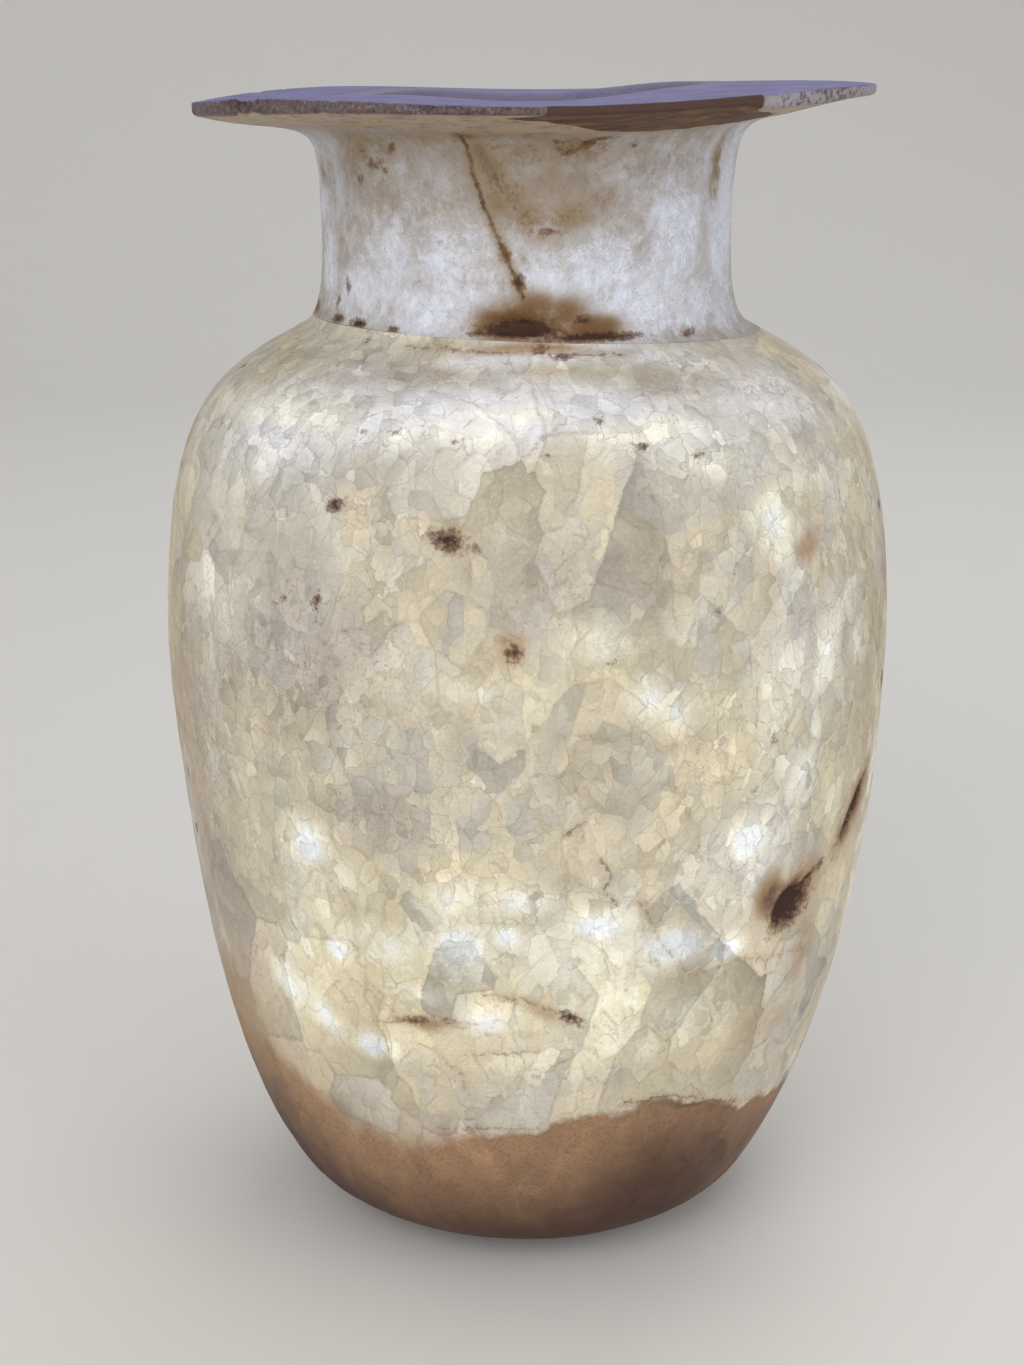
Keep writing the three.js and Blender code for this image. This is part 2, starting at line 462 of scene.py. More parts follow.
class Graph:
    """Adds shader nodes to one material and joins them."""

    def __init__(self, name: str) -> None:
        """Starts a material with one Principled shader.

        Args:
            name: The material's name.
        """
        self.material = bpy.data.materials.new(name)
        self.material.use_nodes = True
        self.tree = self.material.node_tree
        self.shader = next(n for n in self.tree.nodes if n.type == "BSDF_PRINCIPLED")
        self.place = self.add("ShaderNodeTexCoord").outputs["Object"]
        self.color: object = (0.5, 0.5, 0.5)

    def add(self, kind: str, **settings: object) -> bpy.types.Node:
        """Adds a node of this kind with these settings.

        Args:
            kind: Blender's name of the kind.
            settings: Its settings by name.

        Returns:
            The node.
        """
        node = self.tree.nodes.new(kind)
        for name, value in settings.items():
            setattr(node, name, value)
        return node

    def feed(self, socket: bpy.types.NodeSocket, value: object) -> None:
        """Joins a socket to an output, or sets its number or colour.

        Args:
            socket: The socket.
            value: An output of another node, a number or a colour.
        """
        if isinstance(value, bpy.types.NodeSocket):
            self.tree.links.new(value, socket)
        elif isinstance(value, tuple) and len(value) == 3 and socket.type == "RGBA":
            socket.default_value = (*value, 1.0)
        else:
            socket.default_value = value

    def attribute(self, name: str) -> bpy.types.NodeSocket:
        """A number that the mesh holds at each vertex."""
        return self.add("ShaderNodeAttribute", attribute_name=name).outputs["Fac"]

    def math(self, operation: str, *values: object, clamp: bool = False) -> bpy.types.NodeSocket:
        """One step of arithmetic.

        Args:
            operation: What is done.
            values: Numbers or outputs.
            clamp: Whether the result stays between 0 and 1.

        Returns:
            The result.
        """
        node = self.add("ShaderNodeMath", operation=operation, use_clamp=clamp)
        for socket, value in zip(node.inputs, values):
            self.feed(socket, value)
        return node.outputs[0]

    def vector(self, operation: str, *values: object) -> bpy.types.NodeSocket:
        """One step of arithmetic on vectors.

        Args:
            operation: What is done.
            values: Vectors or outputs.

        Returns:
            The result.
        """
        node = self.add("ShaderNodeVectorMath", operation=operation)
        for value, socket in zip(values, node.inputs):
            self.feed(socket, value)
        return node.outputs[0]

    def scaled(self, vector: object, factor: float) -> bpy.types.NodeSocket:
        """A vector times a number.

        Args:
            vector: The vector.
            factor: The number.

        Returns:
            The result.
        """
        node = self.add("ShaderNodeVectorMath", operation="SCALE")
        self.feed(node.inputs[0], vector)
        node.inputs["Scale"].default_value = factor
        return node.outputs[0]

    def turned(self, vector: object, turn: tuple[float, float, float], stretch: tuple[float, float, float]) -> object:
        """Turns and stretches a pattern's coordinates.

        Args:
            vector: The coordinates.
            turn: Turns about x, y and z in degrees.
            stretch: Factors along x, y and z.

        Returns:
            The new coordinates.
        """
        node = self.add("ShaderNodeMapping")
        self.feed(node.inputs["Vector"], vector)
        node.inputs["Rotation"].default_value = [math.radians(angle) for angle in turn]
        node.inputs["Scale"].default_value = stretch
        return node.outputs["Vector"]

    def times(self, first: object, second: object) -> bpy.types.NodeSocket:
        """One number times another."""
        return self.math("MULTIPLY", first, second)

    def plus(self, first: object, second: object) -> bpy.types.NodeSocket:
        """One number and another."""
        return self.math("ADD", first, second)

    def minus(self, first: object, second: object) -> bpy.types.NodeSocket:
        """One number less another."""
        return self.math("SUBTRACT", first, second)

    def most(self, first: object, second: object) -> bpy.types.NodeSocket:
        """The greater of two numbers."""
        return self.math("MAXIMUM", first, second)

    def noise(
        self, size: float, detail: float = 3.0, rough: float = 0.55, vector: object = None, output: str = "Fac"
    ) -> bpy.types.NodeSocket:
        """A noise pattern.

        Args:
            size: The size of its features, in millimetres.
            detail: How many finer layers it has.
            rough: How strong the finer layers are.
            vector: Its coordinates, the object's own if left out.
            output: Fac for one number, Color for three.

        Returns:
            The noise.
        """
        node = self.add("ShaderNodeTexNoise")
        self.feed(node.inputs["Vector"], self.place if vector is None else vector)
        node.inputs["Scale"].default_value = 1.0 / (size * MM)
        node.inputs["Detail"].default_value = detail
        node.inputs["Roughness"].default_value = rough
        return node.outputs[output]

    def bent(self, size: float, detail: float, rough: float, reach: float) -> bpy.types.NodeSocket:
        """The object's coordinates, bent by noise.

        Args:
            size: The size of the bends, in millimetres.
            detail: How many finer layers they have.
            rough: How strong the finer layers are.
            reach: How far they reach, in millimetres.

        Returns:
            The coordinates.
        """
        bend = self.vector("SUBTRACT", self.noise(size, detail, rough, output="Color"), (0.5, 0.5, 0.5))
        return self.vector("ADD", self.place, self.scaled(bend, reach * MM))

    def grains(self, size: float, vector: object, metric: str, feature: str = "F1") -> bpy.types.Node:
        """A grain pattern of this size in millimetres, by this measure of distance.

        Args:
            size: The size of a grain, in millimetres.
            vector: Its coordinates.
            metric: The measure of distance.
            feature: F1 for the nearest grain, F2 for the second nearest.

        Returns:
            The node.
        """
        node = self.add("ShaderNodeTexVoronoi", feature=feature, distance=metric)
        self.feed(node.inputs["Vector"], vector)
        node.inputs["Scale"].default_value = 1.0 / (size * MM)
        return node

    def facets(self, size: float, vector: object, metric: str = "CHEBYCHEV", line: float = 0.0) -> tuple:
        """Angular grains, each with its own random numbers and a shade that falls off across it.

        Args:
            size: The size of a grain, in millimetres.
            vector: Its coordinates.
            metric: The measure of distance, which settles how square the grains are.
            line: How far a boundary reaches on each side in millimetres, 0 for none.

        Returns:
            Three random numbers of each grain, its shade of about -0.25 to 0.25, and its boundaries from 1 to 0.
        """
        node = self.grains(size, vector, metric)
        lean = self.vector("SUBTRACT", node.outputs["Color"], (0.5, 0.5, 0.5))
        away = self.vector("SUBTRACT", vector, node.outputs["Position"])
        dot = self.add("ShaderNodeVectorMath", operation="DOT_PRODUCT")
        self.feed(dot.inputs[0], lean)
        self.feed(dot.inputs[1], away)
        shade = self.math("DIVIDE", dot.outputs["Value"], size * MM)
        if not line:
            return self.parts(node.outputs["Color"]), shade, None
        second = self.grains(size, vector, metric, "F2")
        gap = self.minus(second.outputs["Distance"], node.outputs["Distance"])
        return self.parts(node.outputs["Color"]), shade, self.ramp(gap, 0.0, 2.0 * line / size, 1.0, 0.0)

    def ridges(self, value: object, width: float) -> bpy.types.NodeSocket:
        """Thin wandering lines where a noise passes its middle."""
        return self.ramp(self.math("ABSOLUTE", self.minus(value, 0.5)), 0.0, width, 1.0, 0.0)

    def total(self, *terms: tuple[object, float]) -> bpy.types.NodeSocket:
        """A weighted sum of numbers, each given with its weight.

        Args:
            terms: Numbers or outputs, each with its weight.

        Returns:
            The sum.
        """
        socket: object = 0.0
        for value, weight in terms:
            node = self.add("ShaderNodeMath", operation="MULTIPLY_ADD")
            for slot, item in zip(node.inputs, (value, weight, socket)):
                self.feed(slot, item)
            socket = node.outputs[0]
        return socket

    def ramp(self, value: object, low: float, high: float, start: float = 0.0, end: float = 1.0) -> object:
        """Rises smoothly from start to end as the value goes from low to high.

        Args:
            value: What is measured.
            low: Where the rise starts.
            high: Where the rise ends.
            start: The result below low.
            end: The result above high.

        Returns:
            The result.
        """
        node = self.add("ShaderNodeMapRange", interpolation_type="SMOOTHSTEP")
        numbers = {"Value": value, "From Min": low, "From Max": high, "To Min": start, "To Max": end}
        for name, number in numbers.items():
            self.feed(node.inputs[name], number)
        return node.outputs["Result"]

    def blend(self, share: object, first: object, second: object, kind: str = "MIX") -> bpy.types.NodeSocket:
        """Mixes two colours.

        Args:
            share: How much of the second shows.
            first: The colour below.
            second: The colour on top.
            kind: How they mix.

        Returns:
            The mixed colour.
        """
        node = self.add("ShaderNodeMix", data_type="RGBA", blend_type=kind, clamp_factor=True)
        self.feed(node.inputs[0], share)
        self.feed(node.inputs[6], first)
        self.feed(node.inputs[7], second)
        return node.outputs[2]

    def coat(self, share: object, color: object) -> None:
        """Lays a colour over the one that is there."""
        self.color = self.blend(share, self.color, color)

    def shade(self, level: object) -> None:
        """Darkens or lightens the colour that is there."""
        self.color = self.blend(1.0, self.color, self.tone(level), "MULTIPLY")

    def parts(self, color: bpy.types.NodeSocket) -> list[bpy.types.NodeSocket]:
        """The three numbers of a colour.

        Args:
            color: The colour.

        Returns:
            Its red, green and blue.
        """
        node = self.add("ShaderNodeSeparateColor")
        self.feed(node.inputs[0], color)
        return list(node.outputs)

    def tone(self, level: object) -> bpy.types.NodeSocket:
        """A grey of this level, to multiply a colour by.

        Args:
            level: How light it is.

        Returns:
            The grey.
        """
        node = self.add("ShaderNodeCombineColor")
        for socket in node.inputs:
            self.feed(socket, level)
        return node.outputs[0]

    def relief(self, height: object, strength: float, depth: float) -> None:
        """Gives the shader a bump.

        Args:
            height: The height, from 0 to 1.
            strength: How strongly it shows.
            depth: How deep it is, in millimetres.
        """
        node = self.add("ShaderNodeBump")
        node.inputs["Strength"].default_value = strength
        node.inputs["Distance"].default_value = depth * MM
        self.feed(node.inputs["Height"], height)
        self.feed(self.shader.inputs["Normal"], node.outputs["Normal"])

    def finish(self, roughness: object, **sockets: object) -> bpy.types.Material:
        """Joins the colour and the roughness to the shader, and sets its other sockets.

        Args:
            roughness: The roughness.
            sockets: Other sockets by name, with _ for a blank.

        Returns:
            The material.
        """
        self.feed(self.shader.inputs["Base Color"], self.color)
        self.feed(self.shader.inputs["Roughness"], roughness)
        for name, value in sockets.items():
            self.feed(self.shader.inputs[name.replace("_", " ")], value)
        return self.material


@dataclass(frozen=True)
class CrystalStone:
    """The body's stone: angular crystals in beige, grey and cream, painted glow in lit patches, stains with painted
    edge shade, and a brown foot of painted shade.
    """

    beige: Color = (0.575, 0.512, 0.38)
    grey: Color = (0.525, 0.495, 0.425)
    yellow: Color = (0.74, 0.66, 0.44)
    lilac: Color = (0.42, 0.385, 0.36)
    # Cream and white carry the painted glow; cream also lightens some crystals at random.
    cream: Color = (0.87, 0.85, 0.71)
    white: Color = (0.86, 0.90, 0.93)
    cool: Color = (0.70, 0.715, 0.755)
    tan: Color = (0.37, 0.255, 0.15)
    brown: Color = (0.14, 0.07, 0.04)
    # The foot's browns are painted shade: lighter high on the foot, near black low down.
    foot_high: Color = (0.325, 0.192, 0.105)
    foot_low: Color = (0.05, 0.014, 0.007)
    line: Color = (0.25, 0.19, 0.14)
    dark: Color = (0.035, 0.016, 0.011)
    large: float = 29.0
    middle: float = 13.0
    small: float = 6.5

    def material(self) -> bpy.types.Material:
        """Makes the stone's material.

        Returns:
            The material.
        """
        g = Graph("crystalline_stone")
        place = g.bent(5.0, 3.0, 0.6, 2.6)
        big, big_shade, seam = g.facets(self.large, g.turned(place, (33.0, -22.0, 41.0), (1.0, 1.0, 0.75)), line=0.7)
        crossed = g.turned(place, (-33.0, 22.0, 61.0), (1.3, 1.0, 0.85))
        mid, mid_shade, joint = g.facets(self.middle, crossed, line=0.5)
        leaning = g.turned(place, (10.0, 44.0, -20.0), (1.0, 1.2, 0.8))
        fine, fine_shade, chink = g.facets(self.small, leaning, "MANHATTAN", 0.3)
        cloud = g.noise(34.0, 3.0, 0.6)
        blotch = g.noise(6.0, 4.0, 0.68)
        grit = g.noise(2.0, 4.0, 0.75)
        speck = g.noise(1.2, 3.0, 0.8)
        hair = g.noise(8.0, 4.0, 0.62)
        coarse = g.attribute("coarse")
        drawn = g.noise(1.1, 2.0, 0.6, g.turned(g.place, (0.0, 0.0, 0.0), (0.12, 0.12, 1.0)))

        # Crystals differ in tone; the cream and white patches are painted glow, where the light from inside reaches
        # them through clearer, whiter stone
        block = g.times(g.minus(big[0], 0.5), g.ramp(coarse, 0.1, 0.9, 0.0, 0.5))
        share = g.total((big[0], 0.42), (mid[0], 0.36), (fine[0], 0.22), (block, 1.0))
        g.color = g.blend(g.ramp(share, 0.32, 0.68), self.beige, self.grey)
        warm = self._ragged(g, "warm", big[1], mid[2], cloud)
        g.coat(g.times(warm, 0.75), self.yellow)
        sway = g.total((fine[2], 0.10), (mid[1], 0.14), (blotch, 0.5), (cloud, 0.5))
        cool = g.plus(g.attribute("cool"), g.minus(sway, 0.62))
        g.coat(g.ramp(cool, -0.05, 1.05, 0.0, 0.95), self.cool)
        dull = self._ragged(g, "dull", big[1], fine[0], cloud)
        g.coat(g.times(dull, 0.6), self.lilac)
        glow = self._ragged(g, "glow", mid[0], fine[0], cloud)
        soft = g.ramp(g.attribute("glow"), 0.1, 0.9, 0.0, 0.75)
        g.coat(g.most(g.times(glow, 0.8), soft), self.cream)
        heart = g.times(g.ramp(g.attribute("glow"), 0.65, 1.02, 0.0, 0.95), g.ramp(glow, 0.2, 0.9))
        g.coat(heart, self.white)
        g.coat(g.ramp(mid[1], 0.74, 0.98, 0.0, 0.22), self.cream)
        below = g.times(g.total((big_shade, 1.0), (big[2], 0.5)), g.ramp(coarse, 0.0, 1.0, 0.10, 0.56))
        above = g.times(g.total((fine_shade, 1.0), (fine[1], 0.6)), g.ramp(coarse, 0.0, 1.0, 0.36, 0.14))
        streak = g.times(drawn, g.ramp(g.attribute("cool"), 0.2, 0.9, 0.08, 0.34))
        shade = g.total((below, 1.0), (mid_shade, 0.16), (above, 1.0), (mid[2], 0.10))
        tint = g.total((shade, 1.0), (speck, 0.46), (grit, 0.22), (blotch, 0.24), (cloud, 0.34), (streak, 1.0))
        g.shade(g.plus(tint, 0.13))

        # Broken boundaries between the crystals, hairlines and specks
        broken = g.ramp(blotch, 0.40, 0.60)
        lines = g.times(joint, g.times(broken, 0.75))
        seam = g.times(seam, g.ramp(blotch, 0.36, 0.60, 0.25, 1.0))
        lines = g.most(lines, g.times(seam, g.ramp(coarse, 0.1, 0.9, 0.06, 0.9)))
        thin = g.times(g.ridges(hair, 0.016), g.ramp(cloud, 0.38, 0.60, 0.15, 0.6))
        thin = g.most(thin, g.times(chink, g.ramp(coarse, 0.0, 1.0, 0.75, 0.25)))
        lines = g.times(g.most(lines, thin), g.ramp(speck, 0.35, 0.60, 0.2, 1.0))
        g.coat(g.times(lines, 0.72), self.line)
        crackle = g.times(g.ridges(blotch, 0.012), g.ramp(glow, 0.1, 0.9, 0.0, 0.6))
        g.coat(crackle, self.white)
        mottle = g.times(g.ramp(grit, 0.52, 0.66), g.ramp(g.attribute("dull"), 0.1, 0.8, 0.12, 0.62))
        g.coat(mottle, self.line)

        # Brown foot of painted shade, darkest at the bottom, where no glow comes through the thick base; stains, a
        # few of them painted shade along the edges and painted shadow under the joint; cracks, one of them a painted
        # shadow along the joint; and pits
        torn = g.minus(grit, 0.5)
        ragged = g.times(g.minus(blotch, 0.5), 7.0)
        foot = g.plus(g.attribute("foot"), g.times(ragged, g.attribute("foot_ragged")))
        # Painted shade: the foot goes from foot_high down to near black foot_low toward the bottom and under the
        # foot_dark patch at the front right.
        brown = g.blend(g.ramp(g.attribute("foot_depth"), -62.0, -8.0), self.foot_low, self.foot_high)
        brown = g.blend(g.ramp(speck, 0.40, 0.7, 0.0, 0.45), brown, self.foot_low)
        brown = g.blend(g.times(thin, 0.2), brown, self.foot_low)
        brown = g.blend(1.0, brown, g.tone(g.total((tint, 1.0), (below, -0.6), (1.0, 0.19))), "MULTIPLY")
        g.coat(g.ramp(foot, -2.0, 1.2, 0.97, 0.0), brown)
        shore = g.times(g.ramp(foot, -3.2, -0.6), g.ramp(foot, -0.4, 1.2, 1.0, 0.0))
        g.coat(g.times(shore, g.attribute("shore")), self.foot_low)
        stain = g.times(g.attribute("stain"), g.ramp(blotch, 0.2, 0.62, 0.55, 1.1))
        g.coat(g.ramp(stain, 0.0, 0.9), self.tan)
        g.coat(g.ramp(stain, 0.7, 1.4), self.brown)
        across = g.math("ABSOLUTE", g.total((g.attribute("crack_side"), 1.0), (torn, 3.0), (ragged, 0.8)))
        near = g.times(g.attribute("crack_near"), g.ramp(grit, 0.36, 0.60, 0.3, 1.0))
        shadow = g.times(g.ramp(across, 0.2, 3.4, 1.0, 0.0), near)
        g.coat(g.times(shadow, 0.6), self.tan)
        crack = g.times(g.ramp(across, 0.1, 0.8, 1.0, 0.0), g.ramp(near, 0.15, 0.85))
        g.coat(g.times(crack, 0.75), self.brown)
        spot = g.total((g.attribute("spot"), 1.0), (torn, 1.5), (ragged, 0.12))
        g.coat(g.ramp(spot, 0.22, 0.60, 0.0, 0.75), self.brown)
        pit = g.ramp(spot, 0.50, 0.95)
        g.coat(g.times(pit, 0.92), self.dark)

        wear = g.total((cloud, 0.30), (fine[2], 0.08), (pit, 0.25))
        g.relief(speck, 0.5, 0.45)
        return g.finish(g.math("ADD", wear, 0.36, clamp=True), Specular_IOR_Level=0.25, IOR=1.52)

    def _ragged(self, g: Graph, name: str, first: object, second: object, cloud: object) -> object:
        """A patch whose edge follows the crystals.

        Args:
            g: The material's nodes.
            name: The number that the mesh holds.
            first: A random number of each large crystal.
            second: A random number of each small crystal.
            cloud: Soft noise.

        Returns:
            How strongly the patch shows.
        """
        sway = g.minus(g.total((first, 0.45), (second, 0.30), (cloud, 0.35)), 0.55)
        patch = g.attribute(name)
        return g.ramp(g.plus(patch, g.times(sway, g.ramp(patch, 0.0, 0.3, 0.25, 1.0))), 0.12, 0.85)


@dataclass(frozen=True)
class NeckStone:
    """The neck's stone: fine, cool and granular, with tan stains and painted glow, and a flat rim with a dull
    lavender-grey top under a painted bluish reflection and a tan underside of painted glow.
    """

    pale: Color = (0.32, 0.272, 0.222)
    # The bright colour is partly whiter stone and partly painted glow.
    bright: Color = (0.62, 0.65, 0.74)
    tan: Color = (0.275, 0.205, 0.13)
    amber: Color = (0.145, 0.068, 0.022)
    dark: Color = (0.045, 0.02, 0.013)
    # Lavender top: the stone's own lavender-grey with a painted bluish reflection.
    top: Color = (0.185, 0.178, 0.365)
    inner: Color = (0.215, 0.205, 0.295)
    edge: Color = (0.105, 0.074, 0.072)
    edge_pale: Color = (0.30, 0.275, 0.29)
    # Tan underside: painted glow of light from inside.
    under: Color = (0.40, 0.31, 0.22)
    scratch: Color = (0.34, 0.33, 0.44)
    grain: float = 3.6

    def material(self) -> bpy.types.Material:
        """Makes the stone's material.

        Returns:
            The material.
        """
        g = Graph("fine_grained_stone")
        place = g.bent(3.0, 3.0, 0.65, 2.4)
        fine, fine_shade, _ = g.facets(self.grain, g.turned(place, (20.0, 35.0, 15.0), (1.0, 1.0, 0.7)), "MANHATTAN")
        cloud = g.noise(15.0, 4.0, 0.62)
        blotch = g.noise(5.5, 4.0, 0.72)
        grit = g.noise(2.0, 4.0, 0.78)
        speck = g.noise(1.1, 3.0, 0.8)
        torn = g.minus(grit, 0.5)
        # Painted glow: the neck turns toward the bright bluish colour where the glow marks lie, for light from inside
        # and, at its right edge, light from the backdrop.
        glow = g.attribute("glow")
        share = g.total((cloud, 0.9), (blotch, 0.6), (glow, 0.75), (fine[0], 0.10))
        g.color = g.blend(g.ramp(share, 0.55, 1.50), self.pale, self.bright)
        level = g.total((fine_shade, 0.20), (fine[1], 0.08), (speck, 0.55), (grit, 0.50), (blotch, 0.30))
        g.shade(g.plus(level, 0.30))
        lines = g.times(g.ridges(blotch, 0.016), g.ramp(cloud, 0.36, 0.60, 0.6, 0.15))
        lines = g.most(lines, g.times(g.ridges(cloud, 0.006), 0.45))
        g.coat(lines, self.tan)

        stain = g.times(g.attribute("stain"), g.ramp(blotch, 0.30, 0.62, 0.35, 1.25))
        g.coat(g.ramp(stain, 0.0, 0.95), self.tan)
        g.coat(g.ramp(stain, 0.75, 1.6, 0.0, 0.8), self.amber)
        deep = g.times(g.ramp(g.attribute("stain"), 0.1, 0.8), g.ramp(grit, 0.52, 0.64))
        g.coat(g.times(deep, 0.55), self.amber)
        halo = g.times(g.attribute("halo"), g.ramp(blotch, 0.2, 0.6, 0.7, 1.1))
        g.coat(g.ramp(halo, 0.0, 0.75), self.tan)
        g.coat(g.ramp(halo, 0.3, 1.0), self.amber)
        across = g.math("ABSOLUTE", g.plus(g.attribute("crack_side"), g.times(torn, 3.4)))
        near = g.attribute("crack_near")
        shadow = g.times(g.ramp(across, 0.3, 3.2, 1.0, 0.0), near)
        g.coat(g.times(shadow, 0.6), self.tan)
        crack = g.times(g.ramp(across, 0.1, 1.1, 1.0, 0.0), g.ramp(near, 0.2, 0.9))
        g.coat(g.times(crack, 0.75), self.amber)
        crack = g.times(crack, g.ramp(blotch, 0.40, 0.62, 0.0, 0.7))
        g.coat(crack, self.dark)
        spot = g.plus(g.attribute("spot"), g.times(torn, 1.6))
        g.coat(g.ramp(spot, 0.22, 0.55, 0.0, 0.8), self.amber)
        pit = g.ramp(spot, 0.52, 0.95)
        g.coat(g.times(pit, 0.92), self.dark)

        # The rim: dull lavender-grey on top with a painted bluish reflection from above, speckled on its edge, tan
        # below with painted glow from inside
        scratches = g.noise(0.9, 2.0, 0.6, g.turned(g.place, (0.0, 0.0, 33.0), (0.06, 1.0, 1.0)))
        crossed = g.noise(1.1, 2.0, 0.6, g.turned(g.place, (0.0, 0.0, -58.0), (0.05, 1.0, 1.0)))
        worn = g.most(g.ramp(scratches, 0.60, 0.72), g.ramp(crossed, 0.62, 0.74))
        # Painted reflection: the top's blue lavender is partly the stone's own lavender-grey and partly a painted
        # reflection of bluish light from above.
        top = g.blend(g.times(worn, 0.5), self.top, self.scratch)
        top = g.blend(g.ramp(cloud, 0.40, 0.75, 0.0, 0.35), top, self.edge)
        inner = g.times(g.attribute("rim_inner"), g.ramp(blotch, 0.34, 0.58, 0.45, 1.0))
        top = g.blend(inner, top, self.inner)
        edge = g.blend(g.attribute("rim_pale"), self.edge, self.edge_pale)
        edge = g.blend(g.ramp(grit, 0.50, 0.62, 0.0, 0.75), edge, self.dark)
        edge = g.blend(g.ramp(speck, 0.5, 0.7, 0.0, 0.4), edge, self.scratch)
        # Painted glow: the tan underside stands in for light from inside showing through the flare.
        under = g.blend(g.ramp(blotch, 0.45, 0.7, 0.0, 0.6), self.under, self.edge)
        g.coat(g.attribute("rim_under"), under)
        g.coat(g.attribute("rim_edge"), edge)
        g.coat(g.attribute("rim_top"), top)
        g.coat(g.times(g.attribute("rim_dark"), g.ramp(torn, -0.1, 0.12)), self.dark)

        wear = g.total((cloud, 0.30), (pit, 0.25), (g.attribute("rim_top"), 0.22))
        g.relief(g.total((speck, 0.35), (blotch, 0.8)), 0.7, 0.9)
        return g.finish(g.math("ADD", wear, 0.38, clamp=True), Specular_IOR_Level=0.3, IOR=1.52)


@dataclass(frozen=True)
class TintedPlaster:
    """The fill: matt brown plaster, streaky where it was trowelled and darker along its outer face."""

    brown: Color = (0.20, 0.105, 0.048)
    dark: Color = (0.062, 0.034, 0.026)
    pale: Color = (0.34, 0.20, 0.10)

    def material(self) -> bpy.types.Material:
        """Makes the plaster's material.

        Returns:
            The material.
        """
        g = Graph("tinted_plaster")
        streaks = g.noise(3.0, 4.0, 0.65, g.turned(g.place, (0.0, 0.0, 24.0), (0.25, 1.0, 1.0)))
        speck = g.noise(0.9, 3.0, 0.7)
        g.color = g.blend(g.ramp(streaks, 0.35, 0.7), self.dark, self.brown)
        g.coat(g.ramp(streaks, 0.58, 0.8, 0.0, 0.6), self.pale)
        g.coat(g.ramp(speck, 0.6, 0.8, 0.0, 0.35), self.pale)
        g.coat(g.times(g.attribute("rim_edge"), 0.9), self.dark)
        roughness = g.ramp(speck, 0.3, 0.8, 0.7, 0.92)
        g.relief(g.plus(g.times(streaks, 0.6), g.times(speck, 0.3)), 0.5, 0.5)
        return g.finish(roughness, Specular_IOR_Level=0.3)


@dataclass(frozen=True)
class StudioFloor:
    """The pale floor and backdrop, which aren't part of the vase."""

    color: Color = (0.74, 0.73, 0.71)
    shaded: Color = (0.66, 0.65, 0.64)

    def material(self) -> bpy.types.Material:
        """Makes the floor's material.

        Returns:
            The material.
        """
        g = Graph("studio_floor")
        g.color = g.blend(g.ramp(g.noise(60.0, 3.0), 0.3, 0.7, 0.0, 0.04), self.color, self.shaded)
        return g.finish(g.ramp(g.noise(40.0, 3.0), 0.3, 0.7, 0.55, 0.65))


# Building of the pieces


def ordered(bm: bmesh.types.BMesh) -> None:
    """Sorts a mesh's vertices, edges and faces by place, so that every run gives the same.

    Args:
        bm: The mesh.
    """
    for parts, place in (
        (bm.verts, lambda vert: vert.co[:]),
        (bm.edges, lambda edge: sorted(vert.index for vert in edge.verts)),
        (bm.faces, lambda face: sorted(vert.index for vert in face.verts)),
    ):
        ranks = {part: rank for rank, part in enumerate(sorted(parts, key=place))}
        parts.sort(key=ranks.get)
        parts.index_update()


class Side(Enum):
    """Which side of the joint between body and neck is kept."""

    BELOW = -1
    ABOVE = 1


